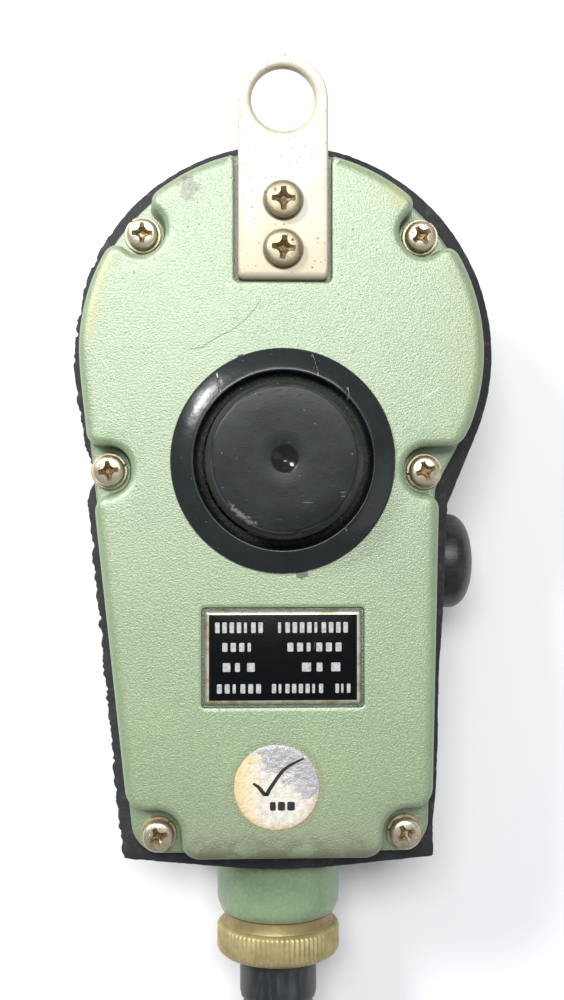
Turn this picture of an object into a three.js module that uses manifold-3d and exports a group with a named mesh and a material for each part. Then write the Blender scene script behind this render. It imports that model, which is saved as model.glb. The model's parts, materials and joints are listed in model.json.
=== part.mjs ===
// Hand microphone of the fixed-station kind: a die-cast front shell and rear cover with a rubber
// gasket between them, a hanger bracket, a rubber-booted talk button on the back, a sealed button
// on the side, a dynamic capsule behind the mouthpiece, and a lead that leaves through a gland.
//
// Millimetres. The origin is the centre of the mouthpiece, on the front face. +Z points out of the
// back, +Y points towards the hanger, and X = 0 is the centre line. It lies on its front face.

import * as THREE from "three";
import { mergeVertices } from "three/addons/utils/BufferGeometryUtils.js";
import Module from "manifold-3d";

const wasm = await Module();
wasm.setup();

// ---------------------------------------------------------------------------------------------
// Driving dimensions
// ---------------------------------------------------------------------------------------------

// Case outline: a round head that narrows to a square foot, with one bend in the right edge
const HEAD_RADIUS = 35.3;
const FOOT_Y = -88.1;
const FOOT_HALF_WIDTH = 26;
const FOOT_CORNER_RADIUS = 5.5;
const KNEE_ANGLE = THREE.MathUtils.degToRad(-40.86);
const KNEE_OUTSIDE_HEAD = 0.93;
const KNEE_RADIUS = 4;

// Case depth and walls
const SHELL_HEIGHT = 27;
const SHELL_WALL = 2.5;
const SHELL_EDGE_ROLL = 5;
const GASKET_THICKNESS = 1.5;
const COVER_HEIGHT = 8;
const COVER_WALL = 2.4;
const COVER_EDGE_ROLL = 2.1;

// Furthest that a faceted arc strays from the true one
const CHORD_GAP = 0.15;

// Gaps between pieces
const SEAT_GAP = 0.1; // between two faces that are clamped together
const FIT_GAP = 0.3; // around a piece that sits or slides in another

// Gasket overhang, which is uneven because the sheet is hand cut and sits a little to the right
const GASKET_OVERHANG = 2.3;
const GASKET_SHIFT_X = 0.45;
const GASKET_SHIFT_Y = 0.4;
const GASKET_BULGE = 4.2;
const GASKET_BAND = 6.2;

// Cover screws
const COVER_SCREW_SHANK = 1.2;
const COVER_SCREW_HEAD = 2.75;
const COVER_SCREW_HEAD_HEIGHT = 2;
const COVER_SCREW_DEPTH = 14;
const COVER_SCREW_EDGE = 3.2;
const HEAD_SCREW_ANGLE = THREE.MathUtils.degToRad(40.3);
const POST_RADIUS = 3.4;
const POCKET_RADIUS = 3.9;
const POCKET_FLOOR = 2.5; // above the cover's lower face
const WASHER_THICKNESS = 0.8;
const WASHER_RADIUS = 3.1;

// Hanger bracket
const HANGER_HALF_WIDTH = 7.8;
const HANGER_THICKNESS = 2.2;
const HANGER_LENGTH = 38.95;
const HANGER_EYE_RADIUS = 5.5;
const HANGER_EYE_ABOVE_HEAD = 8.25;
const HANGER_RECESS = 1.8; // depth of the bracket's underside below the back
const HANGER_SCREW_SHANK = 1.6;
const HANGER_SCREW_HEAD = 3.35;
const HANGER_SCREWS_FROM_END = [5.1, 13.5];

// Talk button on the back
const TALK_Y = -19;
const TALK_RADIUS = 13.45;
const TALK_TOP = 8; // above the back
const TALK_TRAVEL = 3;
const TALK_STEM_RADIUS = 3;
const BOOT_SKIRT = 5.95; // the boot's spread beyond the button

// Side button
const SIDE_BELOW_KNEE = 13.6;
const SIDE_RADIUS = 8.9;
const SIDE_TRAVEL = 2.5;
const SIDE_STEM_RADIUS = 2.5;
const SIDE_BOSS_PROUD = 1.3;

// Mouthpiece and capsule
const GRILLE_RADIUS = 18.7;
const GRILLE_HOLE_RADIUS = 1.25;
const CAPSULE_RADIUS = 16.5;
const CAPSULE_DEPTH = 10;
const CAPSULE_FRONT = 4.6;
const CUSHION_WALL = 2.8;

// Gland and lead
const CORD_RADIUS = 3.5;
const NECK_LENGTH = 14.9;
const NECK_WALL = 1.6;
const GLAND_BORE = 9.9;
const NUT_RADIUS = 11.6;
const KNURL_RIDGES = 40;
const RELIEF_RADIUS = 7.2;
const RELIEF_LENGTH = 44.3;

// Plates
const NAMEPLATE_WIDTH = 27.4;
const NAMEPLATE_LENGTH = 16.6;
const NAMEPLATE_FROM_FOOT = 35.1;
const LABEL_RADIUS = 7.5;
const LABEL_FROM_FOOT = 12.75;

// ---------------------------------------------------------------------------------------------
// Levels and places worked out from them
// ---------------------------------------------------------------------------------------------

const COVER_Z = SHELL_HEIGHT + GASKET_THICKNESS;
const BACK_Z = COVER_Z + COVER_HEIGHT;
const COVER_CEILING = BACK_Z - COVER_WALL;
const NECK_Z = SHELL_HEIGHT / 2 + 0.5;
const NECK_RADIUS = GLAND_BORE + NECK_WALL;
const NECK_END = FOOT_Y - NECK_LENGTH;
const BOOT_RADIUS = TALK_RADIUS + BOOT_SKIRT;

const KNEE_X = (HEAD_RADIUS + KNEE_OUTSIDE_HEAD) * Math.cos(KNEE_ANGLE);
const KNEE_Y = (HEAD_RADIUS + KNEE_OUTSIDE_HEAD) * Math.sin(KNEE_ANGLE);

// ---------------------------------------------------------------------------------------------
// Shape helpers
// ---------------------------------------------------------------------------------------------

/** A closed three.js geometry as a solid that can be joined and cut. */
function solid(geometry) {
  const bare = geometry.index ? geometry.toNonIndexed() : geometry.clone();
  bare.deleteAttribute("normal");
  bare.deleteAttribute("uv");
  const merged = mergeVertices(bare, 1e-4);
  const triangles = [];
  for (let i = 0; i < merged.index.count; i += 3) {
    const [a, b, c] = merged.index.array.subarray(i, i + 3);
    if (a !== b && b !== c && c !== a) triangles.push([a, b, c]);
  }
  const build = (list) =>
    new wasm.Manifold(
      new wasm.Mesh({
        numProp: 3,
        vertProperties: merged.attributes.position.array,
        triVerts: new Uint32Array(list.flat()),
      }),
    );
  const made = build(triangles);
  return made.volume() < 0 ? build(triangles.map(([a, b, c]) => [a, c, b])) : made;
}

/** A solid's surface as a three.js geometry. */
function surface(body) {
  const mesh = body.getMesh();
  const geometry = new THREE.BufferGeometry();
  geometry.setAttribute("position", new THREE.BufferAttribute(mesh.vertProperties, mesh.numProp));
  geometry.setIndex(new THREE.BufferAttribute(mesh.triVerts, 1));
  geometry.computeVertexNormals();
  return geometry;
}

const join = (...bodies) => bodies.reduce((whole, body) => whole.add(body));
const cut = (body, ...tools) => tools.reduce((left, tool) => left.subtract(tool), body);

/** The sides that a full circle of this radius needs to stay within CHORD_GAP of the true one. */
const sidesOf = (radius) => Math.max(8, Math.ceil(Math.PI / Math.acos(1 - CHORD_GAP / radius)));

/** Anticlockwise outline through corners [x, y, radius], each corner rounded to its radius. */
function roundedOutline(corners) {
  const points = [];
  const add = (point) => {
    const repeats = [points[0], points.at(-1)].some((p) => p && p.distanceTo(point) < 1e-4);
    if (!repeats) points.push(point);
  };
  corners.forEach(([x, y, radius], i) => {
    const corner = new THREE.Vector2(x, y);
    if (!radius) {
      add(corner);
      return;
    }
    const [lastX, lastY] = corners.at(i - 1);
    const [nextX, nextY] = corners[(i + 1) % corners.length];
    const back = new THREE.Vector2(lastX, lastY).sub(corner).normalize();
    const ahead = new THREE.Vector2(nextX, nextY).sub(corner).normalize();
    const opening = Math.acos(back.dot(ahead));
    const turn = Math.sign(ahead.cross(back)) * (Math.PI - opening);
    const inward = back.clone().add(ahead).normalize();
    const centre = corner.clone().addScaledVector(inward, radius / Math.sin(opening / 2));
    const start = corner.clone().addScaledVector(back, radius / Math.tan(opening / 2));
    const startAngle = start.clone().sub(centre).angle();
    const steps = Math.max(2, Math.ceil((Math.abs(turn) / (2 * Math.PI)) * sidesOf(radius)));
    for (let k = 0; k <= steps; k++) {
      const angle = startAngle + (turn * k) / steps;
      const spoke = new THREE.Vector2(Math.cos(angle), Math.sin(angle));
      add(centre.clone().addScaledVector(spoke, radius));
    }
  });
  return points;
}

/** The outline moved inwards by a distance, point by point. */
function inset(outline, distance) {
  return outline.map((point, i) => {
    const arriving = point.clone().sub(outline.at(i - 1)).normalize();
    const leaving = outline[(i + 1) % outline.length].clone().sub(point).normalize();
    const along = arriving.clone().add(leaving).normalize();
    const inward = new THREE.Vector2(-along.y, along.x);
    return point.clone().addScaledVector(inward, distance / along.dot(arriving));
  });
}

/** Where the tangent from a point to a circle reaches the circle's top level; side 1 is right. */
function tangentCorner(centreX, centreY, radius, fromX, fromY, side) {
  const toCentre = new THREE.Vector2(centreX - fromX, centreY - fromY);
  const angle = toCentre.angle() - side * Math.asin(radius / toCentre.length());
  const level = centreY + radius;
  return [fromX + (level - fromY) / Math.tan(angle), level, radius];
}

/** The outline's furthest x at height y, on the right (side 1) or the left (side -1). */
function edgeX(outline, y, side) {
  const crossings = outline.flatMap((a, i) => {
    const b = outline[(i + 1) % outline.length];
    if ((a.y - y) * (b.y - y) > 0 || a.y === b.y) return [];
    return [a.x + ((b.x - a.x) * (y - a.y)) / (b.y - a.y)];
  });
  return side * Math.max(...crossings.map((x) => side * x));
}

const circle = (radius, x = 0, y = 0, sides = sidesOf(radius)) =>
  Array.from({ length: sides }, (_, i) => {
    const angle = (2 * Math.PI * i) / sides;
    return new THREE.Vector2(x + radius * Math.cos(angle), y + radius * Math.sin(angle));
  });

/** A plate of the outline between two levels, with any holes as outlines of their own. */
function plate(outline, bottom, top, holes = []) {
  const shape = new THREE.Shape(outline);
  shape.holes = holes.map((hole) => new THREE.Path(hole));
  const geometry = new THREE.ExtrudeGeometry(shape, { depth: top - bottom, bevelEnabled: false });
  return solid(geometry.translate(0, 0, bottom));
}

/** A plate whose upper or lower rim is rolled over by roll, within a height of rise. */
function rolledPlate(outline, bottom, top, roll, rise, rolledEnd) {
  const geometry = new THREE.ExtrudeGeometry(new THREE.Shape(outline), {
    depth: top - bottom - 2 * rise,
    bevelThickness: rise,
    bevelSize: roll,
    bevelOffset: -roll,
    bevelSegments: 3,
  });
  geometry.translate(0, 0, bottom + rise);
  const squareEnd =
    rolledEnd === "top" ? plate(outline, bottom, bottom + rise) : plate(outline, top - rise, top);
  return join(solid(geometry), squareEnd);
}

/** An outline open to one side: a half round about (x, y) with straight sides at an angle. */
function channel(x, y, angle, radius, reach) {
  const at = (along, across, fillet) => [
    x + along * Math.cos(angle) - across * Math.sin(angle),
    y + along * Math.sin(angle) + across * Math.cos(angle),
    fillet,
  ];
  return roundedOutline([
    at(-radius, -radius, radius),
    at(reach, -radius, 0),
    at(reach, radius, 0),
    at(-radius, radius, radius),
  ]);
}

/** The profile's points [radius, height] turned about an axis through `at`. */
function turned(profile, { axis = "z", at = [0, 0, 0] } = {}) {
  const points = profile.map(([radius, height]) => new THREE.Vector2(radius, height));
  if (points[0].x > 0) points.push(points[0].clone());
  const widest = Math.max(...points.map((point) => point.x));
  const geometry = new THREE.LatheGeometry(points, sidesOf(widest));
  if (axis === "z") geometry.rotateX(Math.PI / 2);
  if (axis === "x") geometry.rotateZ(-Math.PI / 2);
  return solid(geometry.translate(...at));
}

const rod = (radius, from, to, options) =>
  turned([[0, from], [radius, from], [radius, to], [0, to]], options);

const ring = (inner, outer, from, to, options) =>
  turned([[inner, from], [outer, from], [outer, to], [inner, to]], options);

/** A box between two levels on each axis. */
function block([x0, x1], [y0, y1], [z0, z1]) {
  const geometry = new THREE.BoxGeometry(x1 - x0, y1 - y0, z1 - z0);
  return solid(geometry.translate((x0 + x1) / 2, (y0 + y1) / 2, (z0 + z1) / 2));
}

/** A round tube along a curve. */
function tube(path, radius, sides, steps) {
  const section = new THREE.Shape(circle(radius, 0, 0, sides));
  return solid(new THREE.ExtrudeGeometry(section, { steps, extrudePath: path, bevelEnabled: false }));
}

const smoothPath = (points) =>
  new THREE.CatmullRomCurve3(points.map((point) => new THREE.Vector3(...point)));

/** The centre line of a coil spring along +Z. */
class SpringCurve extends THREE.Curve {
  constructor(radius, bottom, top, turns) {
    super();
    Object.assign(this, { radius, bottom, top, turns });
  }

  getPoint(t, target = new THREE.Vector3()) {
    const angle = 2 * Math.PI * this.turns * t;
    const height = THREE.MathUtils.lerp(this.bottom, this.top, t);
    return target.set(this.radius * Math.cos(angle), this.radius * Math.sin(angle), height);
  }
}

/** A coil spring along +Z between two levels, the wire included. */
function spring(radius, wire, bottom, top, turns) {
  return tube(new SpringCurve(radius, bottom + wire, top - wire, turns), wire, 5, turns * 8);
}

/** A pan head screw with a cross recess, its head's underside at z = 0. */
function panScrew(headRadius, headHeight, shankRadius, shankLength) {
  const body = turned(
    [
      [0, -shankLength],
      [shankRadius, -shankLength],
      [shankRadius, 0],
      [headRadius, 0],
      [headRadius, 0.5 * headHeight],
      [0.78 * headRadius, 0.88 * headHeight],
      [0, headHeight],
    ],
  );
  const reach = 0.55 * headRadius;
  const slot = 0.13 * headRadius;
  const depth = [0.45 * headHeight, headHeight + 1];
  const armX = block([-reach, reach], [-slot, slot], depth);
  const armY = block([-slot, slot], [-reach, reach], depth);
  return cut(body, join(armX, armY));
}

// ---------------------------------------------------------------------------------------------
// Finishes
// ---------------------------------------------------------------------------------------------

const finishes = {
  greenEnamel: { color: 0x9fbfa0, roughness: 0.45, metalness: 0.35 },
  blackRubber: { color: 0x141516, roughness: 0.6, metalness: 0 },
  softRubber: { color: 0x1b1c1d, roughness: 0.8, metalness: 0 },
  blackPlastic: { color: 0x1c1e1f, roughness: 0.35, metalness: 0 },
  nickel: { color: 0xbfb7a3, roughness: 0.35, metalness: 0.9 },
  brass: { color: 0xb7a06a, roughness: 0.4, metalness: 0.9 },
  springSteel: { color: 0x9a9c9e, roughness: 0.3, metalness: 1 },
  aluminium: { color: 0xc4c6c8, roughness: 0.4, metalness: 0.9 },
  magnetSteel: { color: 0x55585a, roughness: 0.5, metalness: 0.8 },
  copper: { color: 0xa5622f, roughness: 0.4, metalness: 0.8 },
  film: { color: 0xd9c9a0, roughness: 0.3, metalness: 0 },
  cloth: { color: 0x202224, roughness: 1, metalness: 0 },
  board: { color: 0x6b4a2a, roughness: 0.6, metalness: 0 },
  phenolic: { color: 0x3a2a20, roughness: 0.5, metalness: 0 },
  plateBlack: { color: 0x22272b, roughness: 0.35, metalness: 0.5 },
  paper: { color: 0xd8cfae, roughness: 0.7, metalness: 0 },
};

const microphone = new THREE.Group();
microphone.name = "hand_microphone";

/** Adds one named piece, placed in the part's frame, and returns its mesh. */
function addPiece(name, body, finish, position = [0, 0, 0]) {
  const material = new THREE.MeshStandardMaterial(finishes[finish]);
  const mesh = new THREE.Mesh(surface(body), material);
  mesh.name = name;
  mesh.position.set(...position);
  microphone.add(mesh);
  return mesh;
}

// ---------------------------------------------------------------------------------------------
// Outlines and shared places
// ---------------------------------------------------------------------------------------------

const caseOutline = roundedOutline([
  [FOOT_HALF_WIDTH, FOOT_Y, FOOT_CORNER_RADIUS],
  [KNEE_X, KNEE_Y, KNEE_RADIUS],
  tangentCorner(0, 0, HEAD_RADIUS, KNEE_X, KNEE_Y, 1),
  tangentCorner(0, 0, HEAD_RADIUS, -FOOT_HALF_WIDTH, FOOT_Y, -1),
  [-FOOT_HALF_WIDTH, FOOT_Y, FOOT_CORNER_RADIUS],
]);

const headScrewX = (HEAD_RADIUS - COVER_SCREW_EDGE) * Math.cos(HEAD_SCREW_ANGLE);
const headScrewY = (HEAD_RADIUS - COVER_SCREW_EDGE) * Math.sin(HEAD_SCREW_ANGLE);
const middleScrewY = KNEE_Y + 3;
const footScrewX = FOOT_HALF_WIDTH - 4.3;
const footScrewY = FOOT_Y + 3.6;

// Each cover screw stands in a pocket that is open towards the edge, at this angle
const coverScrews = [
  { x: -headScrewX, y: headScrewY, opens: Math.PI - HEAD_SCREW_ANGLE },
  { x: headScrewX, y: headScrewY, opens: HEAD_SCREW_ANGLE },
  { x: edgeX(caseOutline, middleScrewY, -1) + 3, y: middleScrewY, opens: Math.PI },
  { x: KNEE_X - 2.2, y: middleScrewY, opens: 0 },
  { x: -footScrewX, y: footScrewY, corner: -1 },
  { x: footScrewX, y: footScrewY, corner: 1 },
];

/** The outline of a cover screw's pocket: a channel, or a square notch at a foot corner. */
function pocketOutline({ x, y, opens, corner }) {
  const reach = 3 * POCKET_RADIUS;
  if (!corner) return channel(x, y, opens, POCKET_RADIUS, reach);
  const low = Math.min(x - corner * POCKET_RADIUS, x + corner * reach);
  const high = Math.max(x - corner * POCKET_RADIUS, x + corner * reach);
  return roundedOutline([
    [low, y - reach, 0],
    [high, y - reach, 0],
    [high, y + POCKET_RADIUS + 0.6, corner < 0 ? POCKET_RADIUS : 0],
    [low, y + POCKET_RADIUS + 0.6, corner > 0 ? POCKET_RADIUS : 0],
  ]);
}

const SIDE_Y = KNEE_Y - SIDE_BELOW_KNEE;
const SIDE_FACE = edgeX(caseOutline, SIDE_Y, 1) + SIDE_BOSS_PROUD;

// ---------------------------------------------------------------------------------------------
// Mouthpiece and capsule, stacked from the front
// ---------------------------------------------------------------------------------------------

const grilleThickness = 1.2;
const grilleSeat = 1.5;
const clothRadius = GRILLE_RADIUS - 1.5;
const cushionOuter = CAPSULE_RADIUS + FIT_GAP + CUSHION_WALL;
const wellInner = cushionOuter + FIT_GAP;
const wellOuter = wellInner + 1.8;
const capsuleBack = CAPSULE_FRONT + CAPSULE_DEPTH;

const grilleRings = [
  { radius: 5.4, holes: 6 },
  { radius: 9.6, holes: 12 },
  { radius: 13.8, holes: 18 },
];
const grilleHoles = grilleRings.flatMap(({ radius, holes }) =>
  circle(radius, 0, 0, holes).map(({ x, y }) => circle(GRILLE_HOLE_RADIUS, x, y, 6)),
);
addPiece("mouth_grille", plate(circle(GRILLE_RADIUS), 0, grilleThickness, grilleHoles), "aluminium");

addPiece("wind_screen", rod(clothRadius, grilleSeat + SEAT_GAP, 2.9), "cloth");

const cushionFront = 3.2;
addPiece(
  "capsule_cushion",
  turned(
    [
      [CAPSULE_RADIUS - 1.3, cushionFront],
      [cushionOuter, cushionFront],
      [cushionOuter, capsuleBack - 1.6],
      [CAPSULE_RADIUS + FIT_GAP, capsuleBack - 1.6],
      [CAPSULE_RADIUS + FIT_GAP, CAPSULE_FRONT - FIT_GAP],
      [CAPSULE_RADIUS - 1.3, CAPSULE_FRONT - FIT_GAP],
    ],
  ),
  "softRubber",
);

const caseWall = 1.2;
const caseBackWall = 1.4;
addPiece(
  "capsule_case",
  turned(
    [
      [0, capsuleBack - caseBackWall],
      [CAPSULE_RADIUS - caseWall, capsuleBack - caseBackWall],
      [CAPSULE_RADIUS - caseWall, CAPSULE_FRONT],
      [CAPSULE_RADIUS, CAPSULE_FRONT],
      [CAPSULE_RADIUS, capsuleBack],
      [0, capsuleBack],
    ],
  ),
  "aluminium",
);

const diaphragmRadius = CAPSULE_RADIUS - caseWall - 0.4;
const coilRadius = 7.4;
addPiece(
  "diaphragm",
  turned(
    [
      [0, CAPSULE_FRONT + 0.4],
      [coilRadius - 0.6, CAPSULE_FRONT + 0.8],
      [coilRadius + 0.6, CAPSULE_FRONT + 1.1],
      [diaphragmRadius, CAPSULE_FRONT + 1],
      [diaphragmRadius, CAPSULE_FRONT + 1.3],
      [coilRadius + 0.6, CAPSULE_FRONT + 1.4],
      [coilRadius - 0.6, CAPSULE_FRONT + 1.1],
      [0, CAPSULE_FRONT + 0.7],
    ],
  ),
  "film",
);
addPiece(
  "voice_coil",
  ring(coilRadius - 0.5, coilRadius, CAPSULE_FRONT + 1.7, CAPSULE_FRONT + 4.4),
  "copper",
);
const poleRadius = coilRadius - 1;
const poleBack = CAPSULE_FRONT + 3.6;
addPiece("pole_cap", rod(poleRadius, CAPSULE_FRONT + 2, poleBack), "magnetSteel");
const yokeFloor = capsuleBack - caseBackWall - 1.5;
addPiece("magnet", rod(poleRadius - 0.4, poleBack + SEAT_GAP, yokeFloor - SEAT_GAP), "magnetSteel");
addPiece(
  "magnet_yoke",
  turned(
    [
      [0, yokeFloor],
      [coilRadius + 0.5, yokeFloor],
      [coilRadius + 0.5, CAPSULE_FRONT + 2],
      [coilRadius + 3.6, CAPSULE_FRONT + 2],
      [coilRadius + 3.6, capsuleBack - caseBackWall - 0.2],
      [0, capsuleBack - caseBackWall - 0.2],
    ],
  ),
  "nickel",
);

// The clamp bar holds the capsule down on two bosses beside the well
const clampBossX = Math.max(HEAD_RADIUS - 10.3, wellOuter + 3.3);
const clampBossRadius = 2.6;
const clampBottom = capsuleBack + 0.4;
const clampTop = clampBottom + 1;
const clampOutline = roundedOutline([
  [clampBossX + 3.5, -4, 2.5],
  [clampBossX + 3.5, 4, 2.5],
  [-clampBossX - 3.5, 4, 2.5],
  [-clampBossX - 3.5, -4, 2.5],
]);
const smallShank = 1.1;
const smallHead = 2.2;
const smallHeadHeight = 1.3;
const smallScrewLength = 5.5;
const clampHoles = [-1, 1].map((side) => circle(smallShank + FIT_GAP, side * clampBossX, 0));
addPiece("capsule_clamp", plate(clampOutline, clampBottom, clampTop, clampHoles), "springSteel");
[-1, 1].forEach((side, i) => {
  const screw = panScrew(smallHead, smallHeadHeight, smallShank, smallScrewLength);
  addPiece(`capsule_clamp_screw_${i + 1}`, screw, "nickel", [side * clampBossX, 0, clampTop + SEAT_GAP]);
});

// ---------------------------------------------------------------------------------------------
// Talk button and its switch
// ---------------------------------------------------------------------------------------------

const switchPlateBottom = clampTop + 0.2;
const switchPlateTop = switchPlateBottom + 1;
const switchBottom = switchPlateTop + 0.2;
const switchTop = switchBottom + 6.6;
const switchHoleFloor = switchBottom + 0.8;
const noseRadius = 1.6;
const switchScrewX = 13.2;
const switchScrewY = TALK_Y - 5.6;
const switchBossRadius = 2.8;

const switchPlateOutline = roundedOutline([
  [16.5, TALK_Y - 8, 2],
  [16.5, TALK_Y + 9.5, 2],
  [-16.5, TALK_Y + 9.5, 2],
  [-16.5, TALK_Y - 8, 2],
]);
const switchPlateHoles = [-1, 1].map((side) =>
  circle(smallShank + FIT_GAP, side * switchScrewX, switchScrewY),
);
addPiece(
  "switch_plate",
  plate(switchPlateOutline, switchPlateBottom, switchPlateTop, switchPlateHoles),
  "springSteel",
);
[-1, 1].forEach((side, i) => {
  const screw = panScrew(smallHead, smallHeadHeight, smallShank, smallScrewLength);
  const place = [side * switchScrewX, switchScrewY, switchPlateTop + SEAT_GAP];
  addPiece(`switch_plate_screw_${i + 1}`, screw, "nickel", place);
});

/** Three solder blades in a row along an axis, as boxes made by the given function. */
const blades = (makeBlade) => join(...[-1, 0, 1].map(makeBlade));

addPiece(
  "talk_switch",
  cut(
    join(
      block([-10, 10], [TALK_Y - 5, TALK_Y + 5], [switchBottom, switchTop]),
      blades((i) =>
        block([6 * i - 1, 6 * i + 1], [TALK_Y - 9, TALK_Y - 4.5], [switchBottom + 2, switchBottom + 2.5]),
      ),
    ),
    rod(noseRadius + 0.4, switchHoleFloor, switchTop + 1, { at: [0, TALK_Y, 0] }),
  ),
  "phenolic",
);

// The guide is a bar riveted under the cover, with the plunger's stem running through it
const guideBottom = COVER_Z + 0.2;
const guideTop = guideBottom + 1.4;
const guideRivet = BOOT_RADIUS + 1.1;
const rivetRadius = 2.2;
const guideHalfLength = guideRivet + rivetRadius + 1.3;
const guideHoles = [
  circle(TALK_STEM_RADIUS + 0.4, 0, TALK_Y),
  circle(rivetRadius + FIT_GAP, 0, TALK_Y - guideRivet),
  circle(rivetRadius + FIT_GAP, 0, TALK_Y + guideRivet),
];
const guideOutline = roundedOutline([
  [6, TALK_Y - guideHalfLength, 4],
  [6, TALK_Y + guideHalfLength, 4],
  [-6, TALK_Y + guideHalfLength, 4],
  [-6, TALK_Y - guideHalfLength, 4],
]);
addPiece("button_guide", plate(guideOutline, guideBottom, guideTop, guideHoles), "springSteel");

const talkPlace = { at: [0, TALK_Y, 0] };
const talkTop = BACK_Z + TALK_TOP;
const talkRim = guideTop + TALK_TRAVEL + FIT_GAP;
const talkRoof = talkTop - 3;
const talkInner = TALK_RADIUS - 1.45;
addPiece(
  "talk_button",
  turned(
    [
      [0, talkRoof],
      [talkInner, talkRoof],
      [talkInner, talkRim],
      [TALK_RADIUS, talkRim],
      [TALK_RADIUS, talkTop - 1.9],
      [TALK_RADIUS - 1.85, talkTop],
      [2.3, talkTop],
      [0, talkTop - 1],
    ],
    talkPlace,
  ),
  "blackPlastic",
);

const plungerTop = talkRoof - 0.2;
const plungerDisc = plungerTop - 2.3;
addPiece(
  "talk_plunger",
  turned(
    [
      [0, switchHoleFloor + TALK_TRAVEL + 0.8],
      [noseRadius, switchHoleFloor + TALK_TRAVEL + 0.8],
      [noseRadius, switchTop + TALK_TRAVEL + 0.4],
      [TALK_STEM_RADIUS, switchTop + TALK_TRAVEL + 0.4],
      [TALK_STEM_RADIUS, plungerDisc],
      [talkInner - 0.4, plungerDisc],
      [talkInner - 0.4, plungerTop],
      [0, plungerTop],
    ],
    { at: [0, TALK_Y, 0] },
  ),
  "aluminium",
);
const talkSpring = spring(TALK_STEM_RADIUS + 2.2, 0.45, guideTop + 0.2, plungerDisc - 0.2, 5);
addPiece("talk_spring", talkSpring, "springSteel", [0, TALK_Y, 0]);

// The boot grips the cover's round opening in a groove and spreads over it as a skirt
const bootBore = TALK_RADIUS + 0.4;
const openingRadius = BOOT_RADIUS - 3.2;
const bootFlange = openingRadius + 1.4;
addPiece(
  "button_boot",
  turned(
    [
      [bootBore, BACK_Z - 1.9],
      [bootBore, BACK_Z - 0.8],
      [bootBore + 1.05, BACK_Z - 0.8],
      [bootBore + 1.35, BACK_Z + 1.9],
      [bootBore + 2.05, BACK_Z + 2.2],
      [BOOT_RADIUS - 1.8, BACK_Z + 1.6],
      [BOOT_RADIUS - 0.4, BACK_Z + 0.7],
      [BOOT_RADIUS, BACK_Z + SEAT_GAP],
      [openingRadius - 0.2, BACK_Z + SEAT_GAP],
      [openingRadius - 0.2, COVER_CEILING - 0.2],
      [bootFlange, COVER_CEILING - 0.2],
      [bootFlange, COVER_CEILING - 1.5],
      [bootBore + 0.75, COVER_CEILING - 1.5],
      [bootBore + 0.75, BACK_Z - 1.9],
    ].reverse(),
    talkPlace,
  ),
  "blackRubber",
);

// ---------------------------------------------------------------------------------------------
// Side button and its switch, along +X
// ---------------------------------------------------------------------------------------------

const sidePlace = { axis: "x", at: [0, SIDE_Y, NECK_Z] };
const sideSeat = SIDE_FACE - 3; // floor of the counterbore that the dome sinks into
const sideBossRadius = SIDE_RADIUS + 1.7;
const sideInnerBossRadius = SIDE_STEM_RADIUS + 3;
const sideInnerBossEnd = SIDE_FACE - 7;
const sideSwitchFace = SIDE_FACE - 10.2;
const sideSwitchHoleFloor = sideSwitchFace - 5;
const sideNoseRadius = 1.4;

addPiece(
  "side_ring",
  ring(SIDE_RADIUS + FIT_GAP, sideBossRadius, SIDE_FACE + SEAT_GAP, SIDE_FACE + 1.7, sidePlace),
  "blackPlastic",
);

const domeBack = sideSeat + SIDE_TRAVEL + FIT_GAP;
addPiece(
  "side_button",
  turned(
    [
      [0, SIDE_FACE + 6.2],
      [SIDE_RADIUS - 1.5, SIDE_FACE + 5.6],
      [SIDE_RADIUS - 1.5, domeBack],
      [SIDE_RADIUS, domeBack],
      [SIDE_RADIUS, SIDE_FACE + 4.6],
      [SIDE_RADIUS - 0.6, SIDE_FACE + 6.2],
      [SIDE_RADIUS - 2.5, SIDE_FACE + 7.5],
      [SIDE_RADIUS - 5.4, SIDE_FACE + 8.1],
      [0, SIDE_FACE + 8.3],
    ],
    sidePlace,
  ),
  "blackRubber",
);

const sideDisc = SIDE_FACE + 3.6;
addPiece(
  "side_plunger",
  turned(
    [
      [0, sideSwitchHoleFloor + SIDE_TRAVEL + 0.5],
      [sideNoseRadius, sideSwitchHoleFloor + SIDE_TRAVEL + 0.5],
      [sideNoseRadius, sideSwitchFace + SIDE_TRAVEL + 0.2],
      [SIDE_STEM_RADIUS, sideSwitchFace + SIDE_TRAVEL + 0.2],
      [SIDE_STEM_RADIUS, sideDisc],
      [SIDE_RADIUS - 1.8, sideDisc],
      [SIDE_RADIUS - 1.8, sideDisc + 1.8],
      [0, sideDisc + 1.8],
    ],
    sidePlace,
  ),
  "aluminium",
);

const sideSpring = addPiece(
  "side_spring",
  spring(SIDE_STEM_RADIUS + 1.7, 0.4, sideSeat + 0.3, sideDisc - 0.2, 5),
  "springSteel",
  [0, SIDE_Y, NECK_Z],
);
sideSpring.rotation.y = Math.PI / 2;

const sideSwitchX = [sideSwitchFace - 9.7, sideSwitchFace];
const sideSwitchY = [SIDE_Y - 10.7, SIDE_Y + 8.9];
const sideSwitchZ = [NECK_Z - 4.5, NECK_Z + 4.5];
addPiece(
  "side_switch",
  cut(
    join(
      block(sideSwitchX, sideSwitchY, sideSwitchZ),
      blades((i) =>
        block(
          [sideSwitchX[0] - 4, sideSwitchX[0] + 0.5],
          [SIDE_Y - 1.9 + 6 * i, SIDE_Y + 0.1 + 6 * i],
          [NECK_Z - 0.25, NECK_Z + 0.25],
        ),
      ),
    ),
    rod(sideNoseRadius + 0.4, sideSwitchHoleFloor, sideSwitchFace + 1, sidePlace),
  ),
  "phenolic",
);

// ---------------------------------------------------------------------------------------------
// Gland, lead and terminals, along the neck
// ---------------------------------------------------------------------------------------------

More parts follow.
